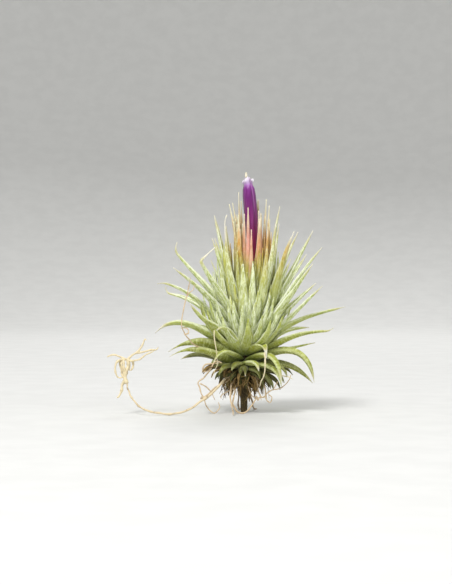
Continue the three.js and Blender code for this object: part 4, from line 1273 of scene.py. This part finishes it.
def stem_shell():
    """Rings up the stem: radius times (1 + scars + furrows). Scars slope round it, furrows run up it."""
    z = np.linspace(0, STEM_TOP, STEM_RINGS)[:, None]
    phase = (2 * np.pi * np.arange(STEM_AROUND) / STEM_AROUND)[None, :]
    scars = SCAR_DEEP * np.abs(np.sin(z * 1.9 + 0.9 * np.sin(phase + z * 0.3))) * smooth(z / 1.2)
    furrows = FURROW_DEEP * np.sin(9 * phase + 0.5 * z) * np.sin(5 * phase - 0.3 * z)
    radius = stem_radius(z) * (0.96 + scars + furrows * smooth(z / 0.8))
    points = np.stack([stem_shift(z) + radius * np.cos(phase), radius * np.sin(phase), z + 0 * phase], -1)
    full = np.ones(radius.shape)
    marks = {"skin_mm": np.stack([radius * phase, z * full, full], -1)}
    return points, marks


stem_bark = make_bark_material()
put_piece("woody_stem_fine", [stem_shell()], stem_bark, ["stem"])
print("stem made")

# %% [markdown]
# ## Floor and light
#
# The plant stands on a plain pale surface under soft studio light: a large lamp high at the front left, a
# weaker one at the right, a faint one behind for the edges, and a bright plain surround. A flat floor would
# end in a horizon, so it turns up into a wall all round.

# %% Floor
FLOOR_PALE, FLOOR_PALER = "#d2d2d0", "#d6d6d4"
FLOOR_FLAT, FLOOR_BEND, WALL_TOP = 900, 900, 2200
FLOOR_AROUND, BEND_RINGS = 96, 24


def make_floor_material():
    """Matt pale paper, with a faint grain of 60 a metre."""
    material, tree = new_material("pale_floor")
    place = add(tree, "ShaderNodeTexCoord").outputs["Object"]
    fleck = add(tree, "ShaderNodeTexNoise", {"Vector": place, "Scale": 60.0, "Detail": 2.0}).outputs[0]
    colour = paint(tree, FLOOR_PALE, ([(fleck, 0.3, 0.7)], FLOOR_PALER))
    return finish_material(material, {"Base Color": colour, "Roughness": 0.9})


def studio_floor():
    """A round floor that turns up into a wall: flat to FLOOR_FLAT, then a quarter circle of radius
    FLOOR_BEND, then straight up to WALL_TOP. Its profile is spun about the plant; its faces look inwards."""
    bend = np.linspace(0, np.pi / 2, BEND_RINGS)
    wall_away = FLOOR_FLAT + FLOOR_BEND
    far = np.concatenate([[0.01, 150, 450], FLOOR_FLAT + FLOOR_BEND * np.sin(bend), [wall_away]])[:, None]
    high = np.concatenate([[0, 0, 0], FLOOR_BEND * (1 - np.cos(bend)), [WALL_TOP]])[:, None]
    spin = 2 * np.pi * np.arange(FLOOR_AROUND) / FLOOR_AROUND
    points = np.stack([far * np.cos(spin), far * np.sin(spin), high + 0 * spin], -1)
    quads, _ = skin_faces(len(far), FLOOR_AROUND)
    mesh = bpy.data.meshes.new("floor")
    mesh.from_pydata((points.reshape(-1, 3) * MM).tolist(), [], quads[:, ::-1].tolist())
    mesh.polygons.foreach_set("use_smooth", np.ones(len(quads), bool))
    return mesh


floor_mesh = studio_floor()
floor_mesh.materials.append(make_floor_material())
floor = bpy.data.objects.new("floor", floor_mesh)
bpy.context.scene.collection.objects.link(floor)
print("floor: flat for", FLOOR_FLAT, "mm, then a wall up to", WALL_TOP, "mm")

# %% Lamps and surround
# each lamp: its place and its size in metres, and its watts
LAMPS = {
    "key": ((-0.35, -0.75, 0.95), 0.35, 12.5),
    "fill": ((0.85, -0.6, 0.5), 0.7, 2.6),
    "rim": ((0.1, 0.9, 0.8), 0.5, 5.0),
}
LIT_POINT = (0, 0, 0.04)
SURROUND, SURROUND_LIGHT = "#ececec", 0.74
for name, (place, size, watts) in LAMPS.items():
    lamp_data = bpy.data.lights.new(name, "AREA")
    lamp_data.size, lamp_data.energy = size, watts
    lamp = bpy.data.objects.new(name, lamp_data)
    lamp.location = place
    lamp.rotation_euler = (Vector(LIT_POINT) - Vector(place)).to_track_quat("-Z", "Y").to_euler()
    bpy.context.scene.collection.objects.link(lamp)

world = bpy.data.worlds.new("studio")
world.use_nodes = True
world.node_tree.nodes["Background"].inputs[0].default_value = linear(SURROUND)
world.node_tree.nodes["Background"].inputs[1].default_value = SURROUND_LIGHT
bpy.context.scene.world = world
bpy.context.scene.view_settings.view_transform = "Standard"
print("lamps:", ", ".join(LAMPS))
